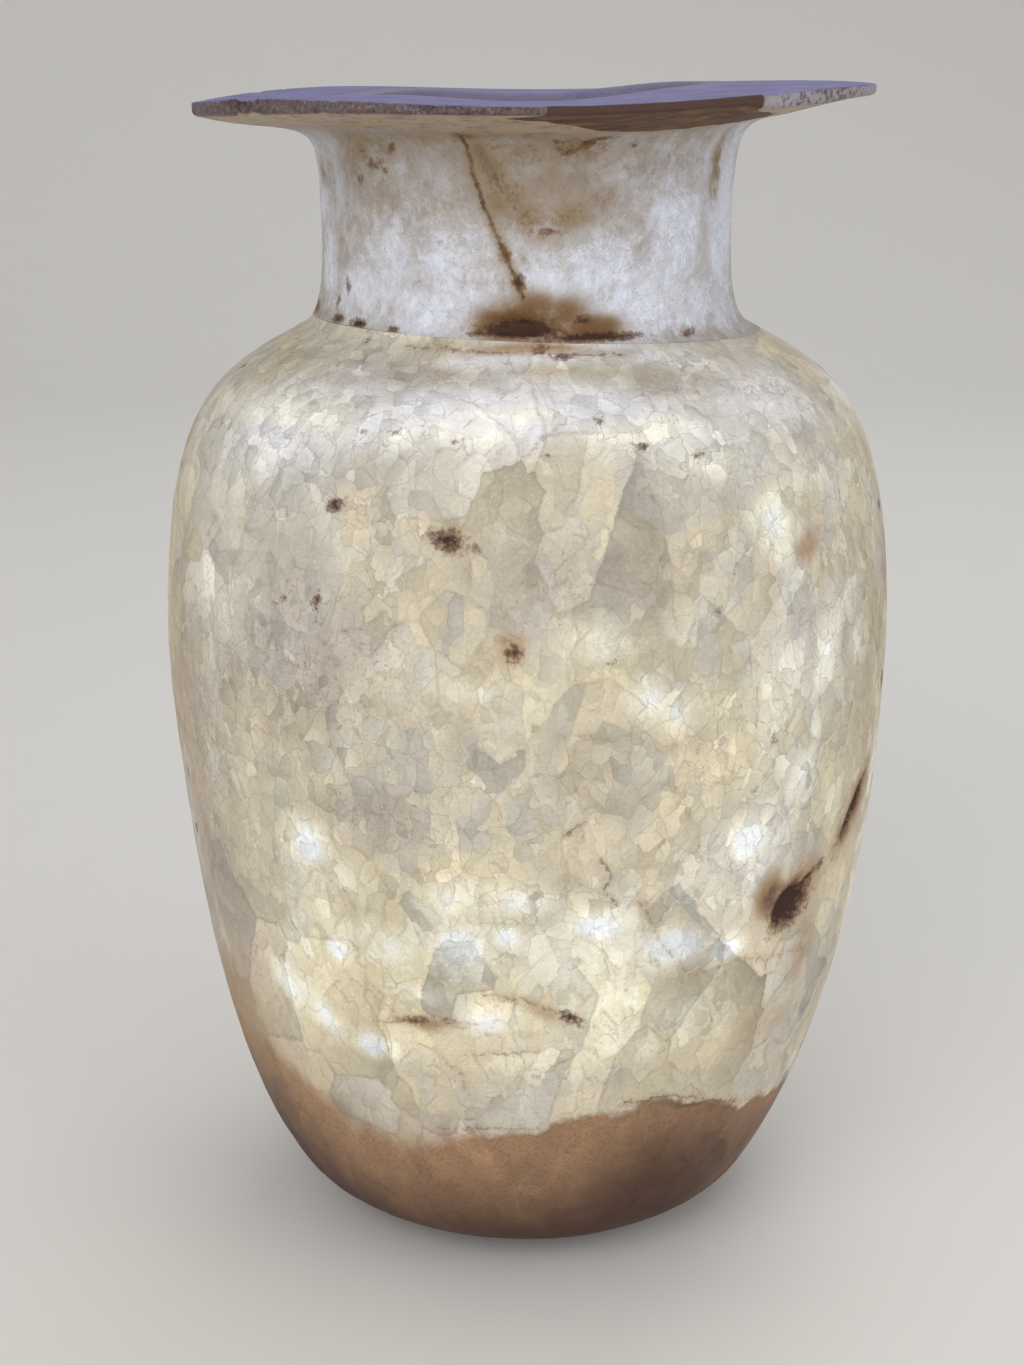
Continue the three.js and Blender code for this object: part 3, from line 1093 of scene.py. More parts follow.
@dataclass
class TurnedPiece:
    """A piece of stone spun round the axis, cut at the joint, settled and worn."""

    form: VesselForm
    name: str
    slot: str
    steps: int
    seen_gap: float = 0.05
    cracks: tuple[Crack, ...] = ()
    folder: bpy.types.Collection = field(default_factory=lambda: bpy.context.scene.collection)

    def spun(self, profile: Sequence[Point]) -> bmesh.types.BMesh:
        """Spins a profile round the axis: an eighth of a turn, then doubled three times.

        Args:
            profile: Radius and height of its points, in millimetres.

        Returns:
            The spun shell, with its poles closed.
        """
        bm = bmesh.new()
        corners = [bm.verts.new((radius * MM, 0.0, height * MM)) for radius, height in profile]
        edges = [bm.edges.new(pair) for pair in zip(corners, corners[1:])]
        bmesh.ops.spin(
            bm,
            geom=corners + edges,
            cent=(0.0, 0.0, 0.0),
            axis=(0.0, 0.0, 1.0),
            angle=math.tau / 8.0,
            steps=self.steps // 8,
            use_merge=False,
            use_duplicate=False,
        )
        for share in (8.0, 4.0, 2.0):
            copied = bmesh.ops.duplicate(bm, geom=bm.verts[:] + bm.edges[:] + bm.faces[:])["geom"]
            verts = [item for item in copied if isinstance(item, bmesh.types.BMVert)]
            turn = Matrix.Rotation(math.tau / share, 3, "Z")
            bmesh.ops.rotate(bm, verts=verts, cent=(0.0, 0.0, 0.0), matrix=turn)
            ordered(bm)
        bmesh.ops.remove_doubles(bm, verts=bm.verts, dist=2e-6)
        ordered(bm)
        return bm

    def cut_at_joint(self, bm: bmesh.types.BMesh, side: Side) -> None:
        """Cuts a shell at the joint and closes the cut between its two walls.

        Args:
            bm: The shell.
            side: The side that is kept.
        """
        slope_x, slope_y = self.form.joint_slope
        upward = Vector((-slope_x, -slope_y, 1.0)).normalized()
        height = (self.form.joint_height + side.value * self.seen_gap / 2.0) * MM
        bmesh.ops.bisect_plane(
            bm,
            geom=bm.verts[:] + bm.edges[:] + bm.faces[:],
            dist=1e-7,
            plane_co=(0.0, 0.0, height),
            plane_no=upward,
            clear_outer=side is Side.BELOW,
            clear_inner=side is Side.ABOVE,
        )
        ordered(bm)
        rims = [edge for edge in bm.edges if edge.is_boundary]
        bmesh.ops.bridge_loops(bm, edges=rims)
        bmesh.ops.remove_doubles(bm, verts=bm.verts, dist=1e-6)
        bmesh.ops.recalc_face_normals(bm, faces=bm.faces)

    def mesh_of(self, bm: bmesh.types.BMesh) -> bpy.types.Mesh:
        """Turns a bmesh into a mesh.

        Args:
            bm: The bmesh, which is used up.

        Returns:
            The mesh.
        """
        ordered(bm)
        mesh = bpy.data.meshes.new(self.name)
        bm.to_mesh(mesh)
        bm.free()
        return mesh

    def places(self, mesh: bpy.types.Mesh) -> np.ndarray:
        """The mesh's vertices, as rows in millimetres.

        Args:
            mesh: The mesh.

        Returns:
            Rows of x, y and z.
        """
        flat = np.empty(len(mesh.vertices) * 3)
        mesh.vertices.foreach_get("co", flat)
        return flat.reshape(-1, 3) / MM

    def keep(self, mesh: bpy.types.Mesh, name: str, values: np.ndarray) -> None:
        """Stores a number at each vertex for the material."""
        mesh.attributes.new(name, "FLOAT", "POINT").data.foreach_set("value", np.asarray(values, dtype=np.float32))

    def keep_patches(self, mesh: bpy.types.Mesh, points: np.ndarray, patches: dict, outside: np.ndarray) -> None:
        """Stores the patches that the photograph shows, those of the hidden side, and the cracks.

        Args:
            mesh: The mesh.
            points: Its vertices in millimetres.
            patches: Shown and hidden marks by name.
            outside: 1 on the outer face and 0 inside.
        """
        for name, (shown, hidden) in patches.items():
            self.keep(mesh, name, mixed(self.form, points, [*shown, *hidden]) * outside)
        across, near = cracked(self.form, points, self.cracks)
        self.keep(mesh, "crack_side", across)
        self.keep(mesh, "crack_near", near * outside)

    def shape(self, mesh: bpy.types.Mesh, points: np.ndarray, depth: np.ndarray, sharp: float = 34.0) -> None:
        """Wears the surface inwards, settles it and smooths its shading.

        Args:
            mesh: The mesh, still of the true round form.
            points: Its vertices in millimetres.
            depth: How far each goes inwards, in millimetres.
            sharp: Edges that bend more than this many degrees stay crisp.
        """
        flat = np.empty(len(points) * 3)
        mesh.vertices.foreach_get("normal", flat)
        slope_x, slope_y = self.form.joint_slope
        above = points[:, 2] - self.form.joint_height - slope_x * points[:, 0] - slope_y * points[:, 1]
        near = (1.0 - smooth(np.abs(above), 0.2, 3.0))[:, None]
        radius = np.maximum(np.hypot(points[:, 0], points[:, 1]), 1e-6)
        level = np.column_stack([points[:, 0] / radius, points[:, 1] / radius, np.zeros(len(points))])
        away = flat.reshape(-1, 3) * (1.0 - near) + level * near
        moved = self.form.settle(points - away * depth[:, None]) * MM
        mesh.vertices.foreach_set("co", moved.ravel())
        mesh.update()
        mesh.shade_smooth()
        mesh.set_sharp_from_angle(angle=math.radians(sharp))

    def place(self, mesh: bpy.types.Mesh, material: bpy.types.Material) -> bpy.types.Object:
        """Puts the piece into the scene, on its body and for its solid.

        Args:
            mesh: The finished mesh.
            material: Its material.

        Returns:
            The piece.
        """
        piece = bpy.data.objects.new(self.name, mesh)
        mesh.materials.append(material)
        self.folder.objects.link(piece)
        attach(piece, "root")
        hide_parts(self.slot_node)
        LOG.info("%s: %d faces", self.name, len(mesh.polygons))
        return piece

    @property
    def slot_node(self) -> str:
        """The solid that the piece stands for."""
        return {"body_stone": "body", "neck_stone": "neck_and_rim", "fill": "rim_fill"}[self.slot]


def scattered(seed: int, count: int, heights: Point, wide: Point, tall: Point, strong: Point) -> list[Mark]:
    """Marks strewn over the side that the photograph doesn't show.

    Args:
        seed: Settles the draw.
        count: How many.
        heights: Lowest and highest.
        wide: Least and most half width.
        tall: Least and most half height.
        strong: Least and most strength.

    Returns:
        The marks.
    """
    draw = np.random.RandomState(seed)
    rows = draw.uniform(size=(count, 6))
    return [
        Mark(
            HIDDEN_FROM + HIDDEN_SPAN * a,
            heights[0] + (heights[1] - heights[0]) * b,
            wide[0] + (wide[1] - wide[0]) * c,
            tall[0] + (tall[1] - tall[0]) * d,
            strong[0] + (strong[1] - strong[0]) * e,
            90.0 * f - 45.0,
        )
        for a, b, c, d, e, f in rows
    ]


@dataclass
class Body(TurnedPiece):
    """The hollow stone body on its small flat foot."""

    ring_step: float = 2.15
    inner_step: float = 14.0
    sole_radius: float = 22.0
    spun_to: float = 328.0
    broad_wear: Waves = Waves(46.0, 13, 2)
    fine_wear: Waves = Waves(7.0, 26)
    foot_sway: Waves = Waves(14.0, 42)
    block_sway: Waves = Waves(40.0, 71, 2)
    block_islands: Waves = Waves(60.0, 73, 2)
    foot_line: tuple[Point, ...] = (
        (-180, 80), (-160, 92), (-145, 85), (-128.1, 71), (-114.3, 64.9), (-99.9, 68.6), (-89.8, 68),
        (-78.9, 73.6), (-65.2, 77.4), (-56, 70), (-46.8, 62.7), (-20, 58), (20, 66), (60, 60), (100, 71),
        (140, 64), (180, 80),
    )
    # Pits and dark spots; the row at -107.5 degrees and 110.6 mm is a painted shadow under a crystal block.
    spots: tuple[Mark, ...] = marks(
        (-119.4, 274.8, 3.2, 2.4, 0.9, 20), (-101.4, 267.6, 6.5, 3.6, 1, -20), (-97.5, 266, 3, 2, 0.6),
        (-127.2, 245.1, 1.8, 1.8, 0.75), (-121, 246.4, 2, 2.4, 0.85), (-121, 240.9, 1.7, 1.7, 0.75),
        (-92, 235.3, 3, 3.2, 0.8), (-77.8, 300, 3, 1.4, 0.7), (-71.7, 292.8, 2.6, 1.4, 0.7),
        (-62.2, 289.2, 2.2, 1.5, 0.6), (-117.4, 296, 2, 1.2, 0.65), (-112, 296.2, 2.4, 1, 0.6),
        (-106.5, 295.5, 2, 1.1, 0.65), (-101.5, 294.9, 2, 1.2, 0.65), (-87, 317.3, 4, 1.8, 0.7),
        (-81, 315.7, 3.5, 1.8, 0.7), (-133, 317.5, 3, 1.5, 0.7), (-65.1, 202.4, 1.8, 1.6, 0.75),
        (-52, 200, 1.8, 1.6, 0.75), (-55.2, 185, 2, 1.4, 0.7), (-59.2, 255.7, 1.8, 2, 0.6),
        (-62, 244.4, 1.8, 1.6, 0.65), (-86.8, 291.3, 1.8, 1.3, 0.6), (-93.7, 239, 1.8, 1.6, 0.6),
        (-78.6, 231, 1.8, 1.6, 0.6), (-83.5, 113.8, 5.5, 1.7, 0.95, -34), (-107.5, 110.6, 6.5, 1.3, 0.95, 4),
        (-102.5, 111, 4, 1, 0.75), (-93, 100.3, 5, 0.9, 0.75, 3), (-44.6, 139, 9.5, 8, 1.4, 20),
        (-40.5, 145, 6.5, 3.2, 0.8, 40), (-38.5, 148, 8, 2, 0.6, 45), (-27.5, 164, 3.2, 14, 1.15, -46),
    )
    # Stains; the tall rows at -156 and -26 degrees are painted shade along the left and right edges, the row at -106
    # degrees and 109.3 mm is a painted shadow under a crystal block, and the thin row at -88 degrees just under the
    # joint is a painted shadow.
    stains: tuple[Mark, ...] = marks(
        (-43.5, 142, 14, 9.5, 1.3, 40), (-50, 145.5, 7, 9, 1.3), (-27.5, 163, 8, 20, 1.2, -46),
        (-34, 151, 6, 10, 0.4, -40), (-39, 118, 9, 26, 0.55), (-92, 236.5, 6.5, 6, 0.65),
        (-101, 268, 8, 5, 0.45), (-154, 92, 26, 22, 0.75, 12), (-148, 116, 20, 20, 0.4, 10),
        (-106, 109.3, 11, 3.2, 0.8), (-44, 259, 9, 5, 0.75, 32), (-87, 115.5, 11, 3, 0.6, -28),
        (-156, 170, 20, 90, 0.5), (-26, 190, 14, 90, 0.3), (-110, 312, 14, 4, 0.36), (-44, 96, 20, 14, 0.45),
        (-96, 106, 20, 6, 0.35, -8), (-88, 318, 22, 2.6, 0.9), (-112, 175, 14, 16, 0.25),
        (-132, 308, 14, 4, 0.5),
    )
    # Painted glow: where light from inside shows through clearer, whiter stone, laid into the colour as cream and
    # white.
    glows: tuple[Mark, ...] = marks(
        (-100.2, 138.2, 10, 8.5, 1.35), (-93.1, 142.9, 6, 5.5, 1.15), (-91.5, 154.5, 15, 7.5, 0.9),
        (-79.9, 145.8, 15, 8, 1.05, -10), (-67.3, 135.9, 17, 9.5, 1.15, -8), (-58.1, 130.8, 9, 5.5, 1.25),
        (-102, 155.3, 10, 8, 0.85), (-111, 136.5, 10, 8, 0.85), (-120.7, 131.1, 5.5, 5, 1.25),
        (-124.2, 166.1, 10, 11, 1.1, 30), (-119, 158, 12, 10, 0.6, 30), (-132.2, 111, 6, 12, 1, 42),
        (-124.9, 104.2, 6, 12, 1, 42), (-116.1, 97, 8, 6, 1.2), (-96.1, 111.1, 13, 7.5, 0.95),
        (-106.3, 119.7, 11, 5.5, 0.8), (-76.1, 122.1, 14, 10, 0.6), (-86, 137, 54, 17, 0.62),
        (-76, 108, 54, 18, 0.42), (-128, 140, 24, 34, 0.4), (-62, 152, 24, 16, 0.45), (-50, 205, 20, 26, 0.4),
        (-64, 242, 14, 13, 0.42), (-31, 235, 13, 26, 0.38), (-55.4, 167.9, 12, 10, 1.15),
        (-45.2, 187.2, 9, 15, 0.85, -10), (-68.8, 214.5, 6, 8, 0.95), (-72.9, 219.4, 9, 8.5, 0.9, -20),
        (-80, 238.7, 12, 8, 0.75), (-99.1, 223.5, 9, 5, 0.7), (-50.8, 268.3, 9.5, 10.5, 0.95),
        (-40.5, 224.2, 8, 14, 0.9, -20), (-71.4, 297, 24, 6.5, 0.75), (-104, 297, 24, 6, 0.5),
        (-132.8, 298.9, 26, 9, 0.6), (-42.7, 280.9, 12, 9, 0.6), (-62, 288, 18, 7, 0.55),
        (-95, 302, 30, 3.5, 0.5),
    )
    cools: tuple[Mark, ...] = marks(
        (-90, 304, 90, 14, 1.1), (-135, 294, 34, 18, 0.95), (-126, 307, 30, 9, 0.9), (-45, 302, 34, 15, 0.8),
        (-80, 317, 60, 8, 0.9), (15, 301, 64, 14, 0.8), (85, 303, 64, 14, 0.85), (155, 300, 64, 14, 0.8),
        (-45, 225, 26, 30, 0.4), (-55, 165, 22, 22, 0.6), (-142, 240, 20, 30, 0.15),
    )
    warms: tuple[Mark, ...] = marks(
        (-88, 222, 42, 30, 0.35), (-62, 200, 40, 26, 0.5), (-98, 165, 30, 20, 0.6), (-92, 203, 18, 12, 0.6),
        (-84, 118, 52, 20, 0.75), (-60, 98, 44, 20, 0.75), (-116, 124, 32, 40, 0.9), (-98, 100, 40, 16, 0.8),
        (-35, 150, 22, 60, 0.8), (-135, 210, 18, 26, 0.35),
    )
    dulls: tuple[Mark, ...] = marks(
        (-122, 228, 36, 28, 0.95), (-84, 256, 34, 22, 0.55), (-112, 182, 24, 13, 0.85),
        (-150, 190, 24, 70, 0.7), (-142, 128, 22, 40, 0.5), (-84, 190, 30, 10, 0.45), (-100, 205, 30, 12, 0.4),
        (-108, 310, 60, 5, 0.6), (-52, 306, 30, 7, 0.5), (-88, 90, 60, 9, 0.45), (-33, 215, 12, 60, 0.4),
    )
    cracks: tuple[Crack, ...] = (
        Crack(((-79.3, 168), (-78, 162.5), (-78.9, 158.5), (-77.4, 154.5)), 0.8, 3.5),
        Crack(((-115, 107), (-107, 110.9), (-101, 111.3)), 0.5, 6),
        Crack(((-96, 122), (-90.5, 120.5), (-81.9, 112.8)), 0.6),
        Crack(((-99, 98.6), (-94, 100.4), (-89.2, 101.1)), 0.5),
        Crack(((-82.5, 181.1), (-84.5, 178)), 0.8, 3.5),
        Crack(((-85.5, 210.1), (-82, 209.6), (-79.2, 208.1)), 0.4),
        Crack(((-73.3, 152.5), (-69, 136), (-63.9, 124.3), (-54.5, 125.2), (-45, 121.5), (-39.3, 119.1)), 0.5),
        Crack(((-46.8, 64.5), (-56, 71.5), (-65.2, 78.5), (-72, 77.5)), 0.8),
        Crack(((-88, 69.5), (-96, 69.8), (-104, 68)), 0.6),
        Crack(((-104, 98), (-101, 92), (-99.5, 84)), 0.45),
        Crack(((-60, 168), (-57, 152), (-52.5, 146)), 0.45),
        Crack(((-26, 168), (-31, 157), (-38, 147), (-44, 139)), 0.5),
        # This line along the joint is a painted shadow under the neck, not a crack.
        Crack(((-118, 317.3), (-104, 317), (-92, 316.8), (-78, 316), (-66, 315.6)), 0.75),
        Crack(((150, 240), (140, 221), (136, 196)), 0.7),
        Crack(((60, 150), (71, 139), (78, 141), (90, 128)), 0.8),
        Crack(((20, 262), (26, 243), (22, 230)), 0.6),
    )
    shores: tuple[Mark, ...] = marks((-56, 72, 24, 16), (70, 64, 30, 14))
    # A patch of painted shade that darkens the foot at the front right.
    foot_dark: Mark = Mark(-50.0, 58.0, 44.0, 38.0)
    pit: Mark = Mark(-44.3, 139.5, 9.0, 5.5, 3.0, 40.0)

    def build(self, stone: bpy.types.Material) -> bpy.types.Object:
        """Builds and dresses the body.

        Args:
            stone: Its material.

        Returns:
            The piece.
        """
        form = self.form
        sole = [(0.0, 0.0), (self.sole_radius, 0.0)]
        outside = resampled(form.body_line, self.ring_step)
        lip = [point for point in resampled(form.neck_line, self.ring_step) if point[1] < self.spun_to - 2.0][1:]
        bore = [(form.mouth_radius, self.spun_to), (form.mouth_radius, form.ceiling_height + 2.0)]
        bore.append((form.mouth_radius + 1.5, form.ceiling_height))
        bm = self.spun(sole + outside + lip + bore + resampled(form.inside_line(), self.inner_step))
        self.cut_at_joint(bm, Side.BELOW)
        mesh = self.mesh_of(bm)
        points = self.places(mesh)
        self._mark(mesh, points)
        self.shape(mesh, points, self._depth(points))
        return self.place(mesh, stone)

    def _mark(self, mesh: bpy.types.Mesh, points: np.ndarray) -> None:
        """Stores where the patches, stains, cracks and pits lie.

        Args:
            mesh: The body's mesh.
            points: Its vertices in millimetres.
        """
        form = self.form
        patches = {
            "spot": (self.spots, scattered(11, 34, (95.0, 312.0), (1.6, 4.5), (1.5, 3.2), (0.6, 0.95))),
            "stain": (self.stains, scattered(12, 16, (90.0, 315.0), (6.0, 18.0), (6.0, 18.0), (0.3, 0.7))),
            "glow": (self.glows, scattered(13, 40, (95.0, 300.0), (6.0, 15.0), (5.0, 13.0), (0.6, 1.0))),
            "cool": (self.cools, scattered(14, 14, (120.0, 300.0), (20.0, 40.0), (16.0, 34.0), (0.4, 0.85))),
            "warm": (self.warms, scattered(15, 14, (80.0, 250.0), (20.0, 46.0), (16.0, 34.0), (0.4, 0.8))),
            "dull": (self.dulls, scattered(16, 12, (80.0, 300.0), (18.0, 36.0), (12.0, 30.0), (0.4, 0.8))),
        }
        radius, height = np.hypot(points[:, 0], points[:, 1]), points[:, 2]
        outside = smooth(radius - form.outer_radius(height), -7.0, -4.0)
        self.keep_patches(mesh, points, patches, outside)
        degrees = np.degrees(np.arctan2(points[:, 1], points[:, 0]))
        line = np.array(self.foot_line)
        above = height - np.interp(degrees, line[:, 0], line[:, 1]) + 3.0 * self.foot_sway.at(points)
        left = 1.0 - smooth(degrees, -112.0, -92.0) * (1.0 - smooth(degrees, 150.0, 176.0))
        blurred = np.where(above > 0.0, above / (1.0 + 16.0 * left), above / (1.0 + 4.5 * left))
        self.keep(mesh, "foot", np.where(outside > 0.5, blurred, 40.0))
        self.keep(mesh, "foot_ragged", 1.0 - 0.9 * left)
        # foot_depth carries painted shade: the foot is darker lower down and under foot_dark.
        self.keep(mesh, "foot_depth", above - 26.0 * self.foot_dark.field(form, points))
        lower = 1.0 - smooth(height + 16.0 * self.block_sway.at(points), 112.0, 175.0)
        self.keep(mesh, "coarse", np.maximum(lower, 0.7 * smooth(self.block_islands.at(points), 0.25, 0.6)))
        self.keep(mesh, "shore", 0.75 * mixed(form, points, self.shores))

    def _depth(self, points: np.ndarray) -> np.ndarray:
        """How far the hand-worked surface lies inside the true round form.

        Args:
            points: The vertices in millimetres.

        Returns:
            Depths of 0 or more, in millimetres.
        """
        radius, height = np.hypot(points[:, 0], points[:, 1]), points[:, 2]
        outside = smooth(radius - self.form.outer_radius(height), -7.0, -4.0) * smooth(height, 0.5, 8.0)
        broad = 0.30 * (1.0 + self.broad_wear.at(points))
        fine = 0.10 * (1.0 + self.fine_wear.at(points))
        worn = np.clip(broad + fine, 0.0, None)
        spots = mixed(self.form, points, self.spots)
        return (worn + 0.9 * smooth(spots, 0.45, 1.0) + self.pit.field(self.form, points)) * outside


@dataclass
class NeckAndRim(TurnedPiece):
    """The neck with its wide flat rim, carved from another block."""

    neck_step: float = 1.25
    rim_step: float = 1.6
    top_step: float = 2.4
    bore_step: float = 4.0
    lower_round: tuple[Point, ...] = ((0.75, 0.2), (0.3, 0.6), (0.08, 1.05), (0.0, 1.5), (0.0, 2.1), (0.0, 2.8))
    upper_round: tuple[Point, ...] = ((0.0, 0.5), (0.18, 0.18), (0.6, 0.0))
    mouth_round: tuple[Point, ...] = ((0.8, 0.2), (0.4, 0.5), (0.1, 1.1), (0.0, 1.8))
    broad_wear: Waves = Waves(30.0, 33, 2)
    fine_wear: Waves = Waves(5.0, 51)
    chipping: Waves = Waves(6.0, 84)
    hollow_sway: Waves = Waves(4.0, 66, 2)
    mouth_sway: Waves = Waves(18.0, 81, 2)
    hollows: tuple[Mark, ...] = marks(
        (-91.5, 324.3, 12.5, 3.4, 4.2), (-71.5, 321.6, 12.5, 1.9, 1.9), (-140, 321.4, 5.5, 2.2, 2),
        (-126, 321, 2.6, 1.7, 1.5), (-150, 322, 5, 2, 1.4), (-45, 319.6, 6, 1.7, 1.4),
    )
    spots: tuple[Mark, ...] = marks(
        (-91.5, 323.6, 12.5, 3, 1.6), (-100, 322, 6, 1.7, 0.9), (-73, 320.8, 17, 1.8, 1.25),
        (-75.5, 325.6, 3.6, 1.6, 1), (-140, 321.6, 5, 1.9, 1.1), (-126, 321.2, 2.6, 1.5, 1),
        (-150, 322, 4.5, 1.8, 0.9), (-92, 337, 2.2, 3, 1, 20), (-95.3, 345, 1.8, 2.4, 0.85, 20),
        (-75.5, 378.5, 4, 2.4, 0.72, 30), (-79.5, 376, 4, 1.8, 0.66), (-72, 380, 5, 1.6, 0.62),
        (-84.5, 352, 5, 1.4, 0.68), (-133, 371, 5, 2.5, 0.58), (-62.9, 377.4, 1.8, 1.6, 0.55),
        (-129, 369.5, 2.5, 1.5, 0.5), (-137, 375, 2.5, 1.5, 0.5), (-44, 320, 4.5, 1.5, 0.7),
        (-126, 376, 3, 1.8, 0.6, 40), (-139, 366, 2, 2.6, 0.55), (-120, 381, 3, 1.4, 0.55),
        (-83, 379.5, 3, 1.8, 0.62, -30), (-146, 333, 2.2, 3, 0.6, 30), (-151, 327, 2, 3, 0.6),
    )
    stains: tuple[Mark, ...] = marks(
        (-99.5, 371, 6, 10, 1.1, 20), (-95, 361, 8, 9, 1, 25), (-88.5, 355.5, 10, 6, 0.95, -20),
        (-79, 356.5, 11, 5, 0.85, 12), (-70, 361, 10, 5, 0.65, 20), (-84, 368, 20, 11, 0.5),
        (-92, 376, 16, 7, 0.7), (-77, 377.5, 13, 6.5, 1), (-112, 372, 16, 12, 0.4), (-135, 377, 16, 6.5, 0.85),
        (-143, 369, 9, 9, 0.6), (-118, 379.5, 14, 4.5, 0.7), (-155.6, 365, 6, 14, 0.55),
        (-150, 345, 7, 22, 0.3), (-30, 368.5, 5, 13, 0.9), (-34, 352, 5, 18, 0.4), (-92, 383, 36, 5, 0.85),
    )
    halos: tuple[Mark, ...] = marks(
        (-94, 325, 14, 7, 0.95), (-88, 328, 11, 7.5, 0.85), (-80, 327.5, 10, 6.5, 0.75),
        (-73, 323.5, 13, 4.5, 0.9), (-95.8, 346.6, 2.6, 4, 0.5), (-104.5, 381, 5, 4, 0.9),
        (-100.8, 374, 4, 8, 0.7, 18), (-97.5, 360, 3.5, 7, 0.45, 22),
    )
    # Painted glow of the light from inside on the neck; the row at -22 degrees is painted light from the backdrop
    # along the neck's right edge.
    glows: tuple[Mark, ...] = marks(
        (-58, 362, 14, 10, 0.2), (-110, 328, 20, 9, 1), (-60, 328, 18, 9, 1), (-140, 331, 18, 9, 0.7),
        (-40, 330, 16, 10, 0.8), (-70, 341, 18, 9, 0.85), (-110, 344, 16, 12, 0.65), (-46, 347, 14, 20, 0.9),
        (-22, 352, 16, 30, 1.1), (-130, 342, 16, 12, 0.6), (-112, 366, 6, 6, 0.4), (-84, 337, 9, 5, 0.9),
    )
    cracks: tuple[Crack, ...] = (
        Crack(((-105.5, 383), (-103.5, 369), (-100.4, 358.5), (-95.8, 346.6), (-92, 335.5)), 1, 6),
        Crack(((-105.5, 378), (-100, 374), (-97, 366)), 0.5),
        Crack(((-60, 383), (-66, 374), (-74, 369)), 0.35),
        Crack(((95, 382), (88, 362), (91, 345), (84, 330)), 0.8, 6),
    )
    rim_darks: tuple[Mark, ...] = marks(
        (-142, 382, 9, 9, 1), (-35, 382, 12, 9, 0.9), (-100, 382, 14, 9, 0.5), (60, 382, 12, 9, 0.8),
        (150, 382, 12, 9, 0.8),
    )

    def profile(self) -> list[Point]:
        """The section from under the joint up the neck, round the rim and down the bore.

        Returns:
            Radius and height of its points.
        """
        form = self.form
        outside = resampled(form.upper_curve.line()[-12:] + form.neck_line, self.neck_step)
        under = form.rim_height - form.rim_thickness
        below = [outside[-1], (98.0, form.flare_height + 3.3), (form.rim_radius - 1.4, under - 0.1)]
        flat = resampled(below, self.rim_step)
        lip = [(form.rim_radius - inset, under + rise) for inset, rise in self.lower_round]
        lip += [(form.rim_radius - inset, form.rim_height - drop) for inset, drop in self.upper_round]
        top = resampled([lip[-1], (form.mouth_radius + 1.6, form.rim_height)], self.top_step)[1:]
        mouth = [(form.mouth_radius + out, form.rim_height - drop) for out, drop in self.mouth_round]
        bore = resampled([mouth[-1], (form.mouth_radius, form.ceiling_height - 6.0)], self.bore_step)[1:]
        return outside + flat[1:] + lip + top + mouth + bore

    def solid(self) -> bpy.types.Mesh:
        """The whole neck and rim, in the true round form, before the fill is cut out of it.

        Returns:
            The mesh.
        """
        bm = self.spun(self.profile())
        self.cut_at_joint(bm, Side.ABOVE)
        return self.mesh_of(bm)

    def build(self, mesh: bpy.types.Mesh, stone: bpy.types.Material) -> bpy.types.Object:
        """Wears and dresses the neck and rim.

        Args:
            mesh: The neck and rim with the lost piece cut out.
            stone: Its material.

        Returns:
            The piece.
        """
        points = self.places(mesh)
        self._mark(mesh, points)
        self.shape(mesh, points, self._depth(points))
        return self.place(mesh, stone)

    def _outside(self, points: np.ndarray) -> np.ndarray:
        """1 on the neck's outer face and 0 in the bore."""
        radius = np.hypot(points[:, 0], points[:, 1])
        return smooth(radius - self.form.outer_radius(points[:, 2]), -6.0, -3.0)

    def _mark(self, mesh: bpy.types.Mesh, points: np.ndarray) -> None:
        """Stores where the stains, cracks, pits and the rim's faces lie.

        Args:
            mesh: The neck's mesh.
            points: Its vertices in millimetres.
        """
        outside = self._outside(points)
        patches = {
            "spot": (self.spots, scattered(21, 16, (320.0, 380.0), (1.6, 4.0), (1.4, 2.6), (0.55, 0.9))),
            "stain": (self.stains, scattered(22, 12, (330.0, 382.0), (6.0, 14.0), (6.0, 14.0), (0.4, 0.85))),
            "halo": (self.halos, scattered(23, 5, (322.0, 330.0), (6.0, 12.0), (2.5, 4.5), (0.5, 0.9))),
            "glow": (self.glows, scattered(24, 26, (322.0, 372.0), (10.0, 20.0), (8.0, 16.0), (0.6, 1.05))),
        }
        self.keep_patches(mesh, points, patches, outside)
        self.mark_rim(mesh, points)

    def mark_rim(self, mesh: bpy.types.Mesh, points: np.ndarray) -> None:
        """Stores where the rim's top, edge and underside lie.

        Args:
            mesh: A mesh of the rim.
            points: Its vertices in millimetres.
        """
        form = self.form
        radius, height = np.hypot(points[:, 0], points[:, 1]), points[:, 2]
        edge = smooth(radius, form.rim_radius - 1.5, form.rim_radius - 0.5)
        bore = smooth(form.mouth_radius + 2.0 - radius, 0.0, 1.0) * smooth(height, 360.0, 384.0)
        self.keep(mesh, "rim_top", np.maximum(smooth(height, form.rim_height - 0.45, form.rim_height - 0.1), bore))
        degrees = np.degrees(np.arctan2(points[:, 1], points[:, 0]))
        self.keep(mesh, "rim_pale", smooth(degrees, -60.0, -50.0) * (1.0 - smooth(degrees, 60.0, 100.0)))
        self.keep(mesh, "rim_edge", edge)
        swayed = radius + 6.0 * self.mouth_sway.at(points)
        self.keep(mesh, "rim_inner", 1.0 - smooth(swayed, form.mouth_radius + 1.0, form.mouth_radius + 13.0))
        self.keep(mesh, "rim_under", smooth(radius, form.flare_radius - 6.0, form.flare_radius + 4.0))
        away = points.copy()
        away[:, :2] *= (form.flare_radius / np.maximum(radius, 1.0))[:, None]
        away[:, 2] = form.flare_height
        self.keep(mesh, "rim_dark", mixed(form, away, self.rim_darks) * edge)

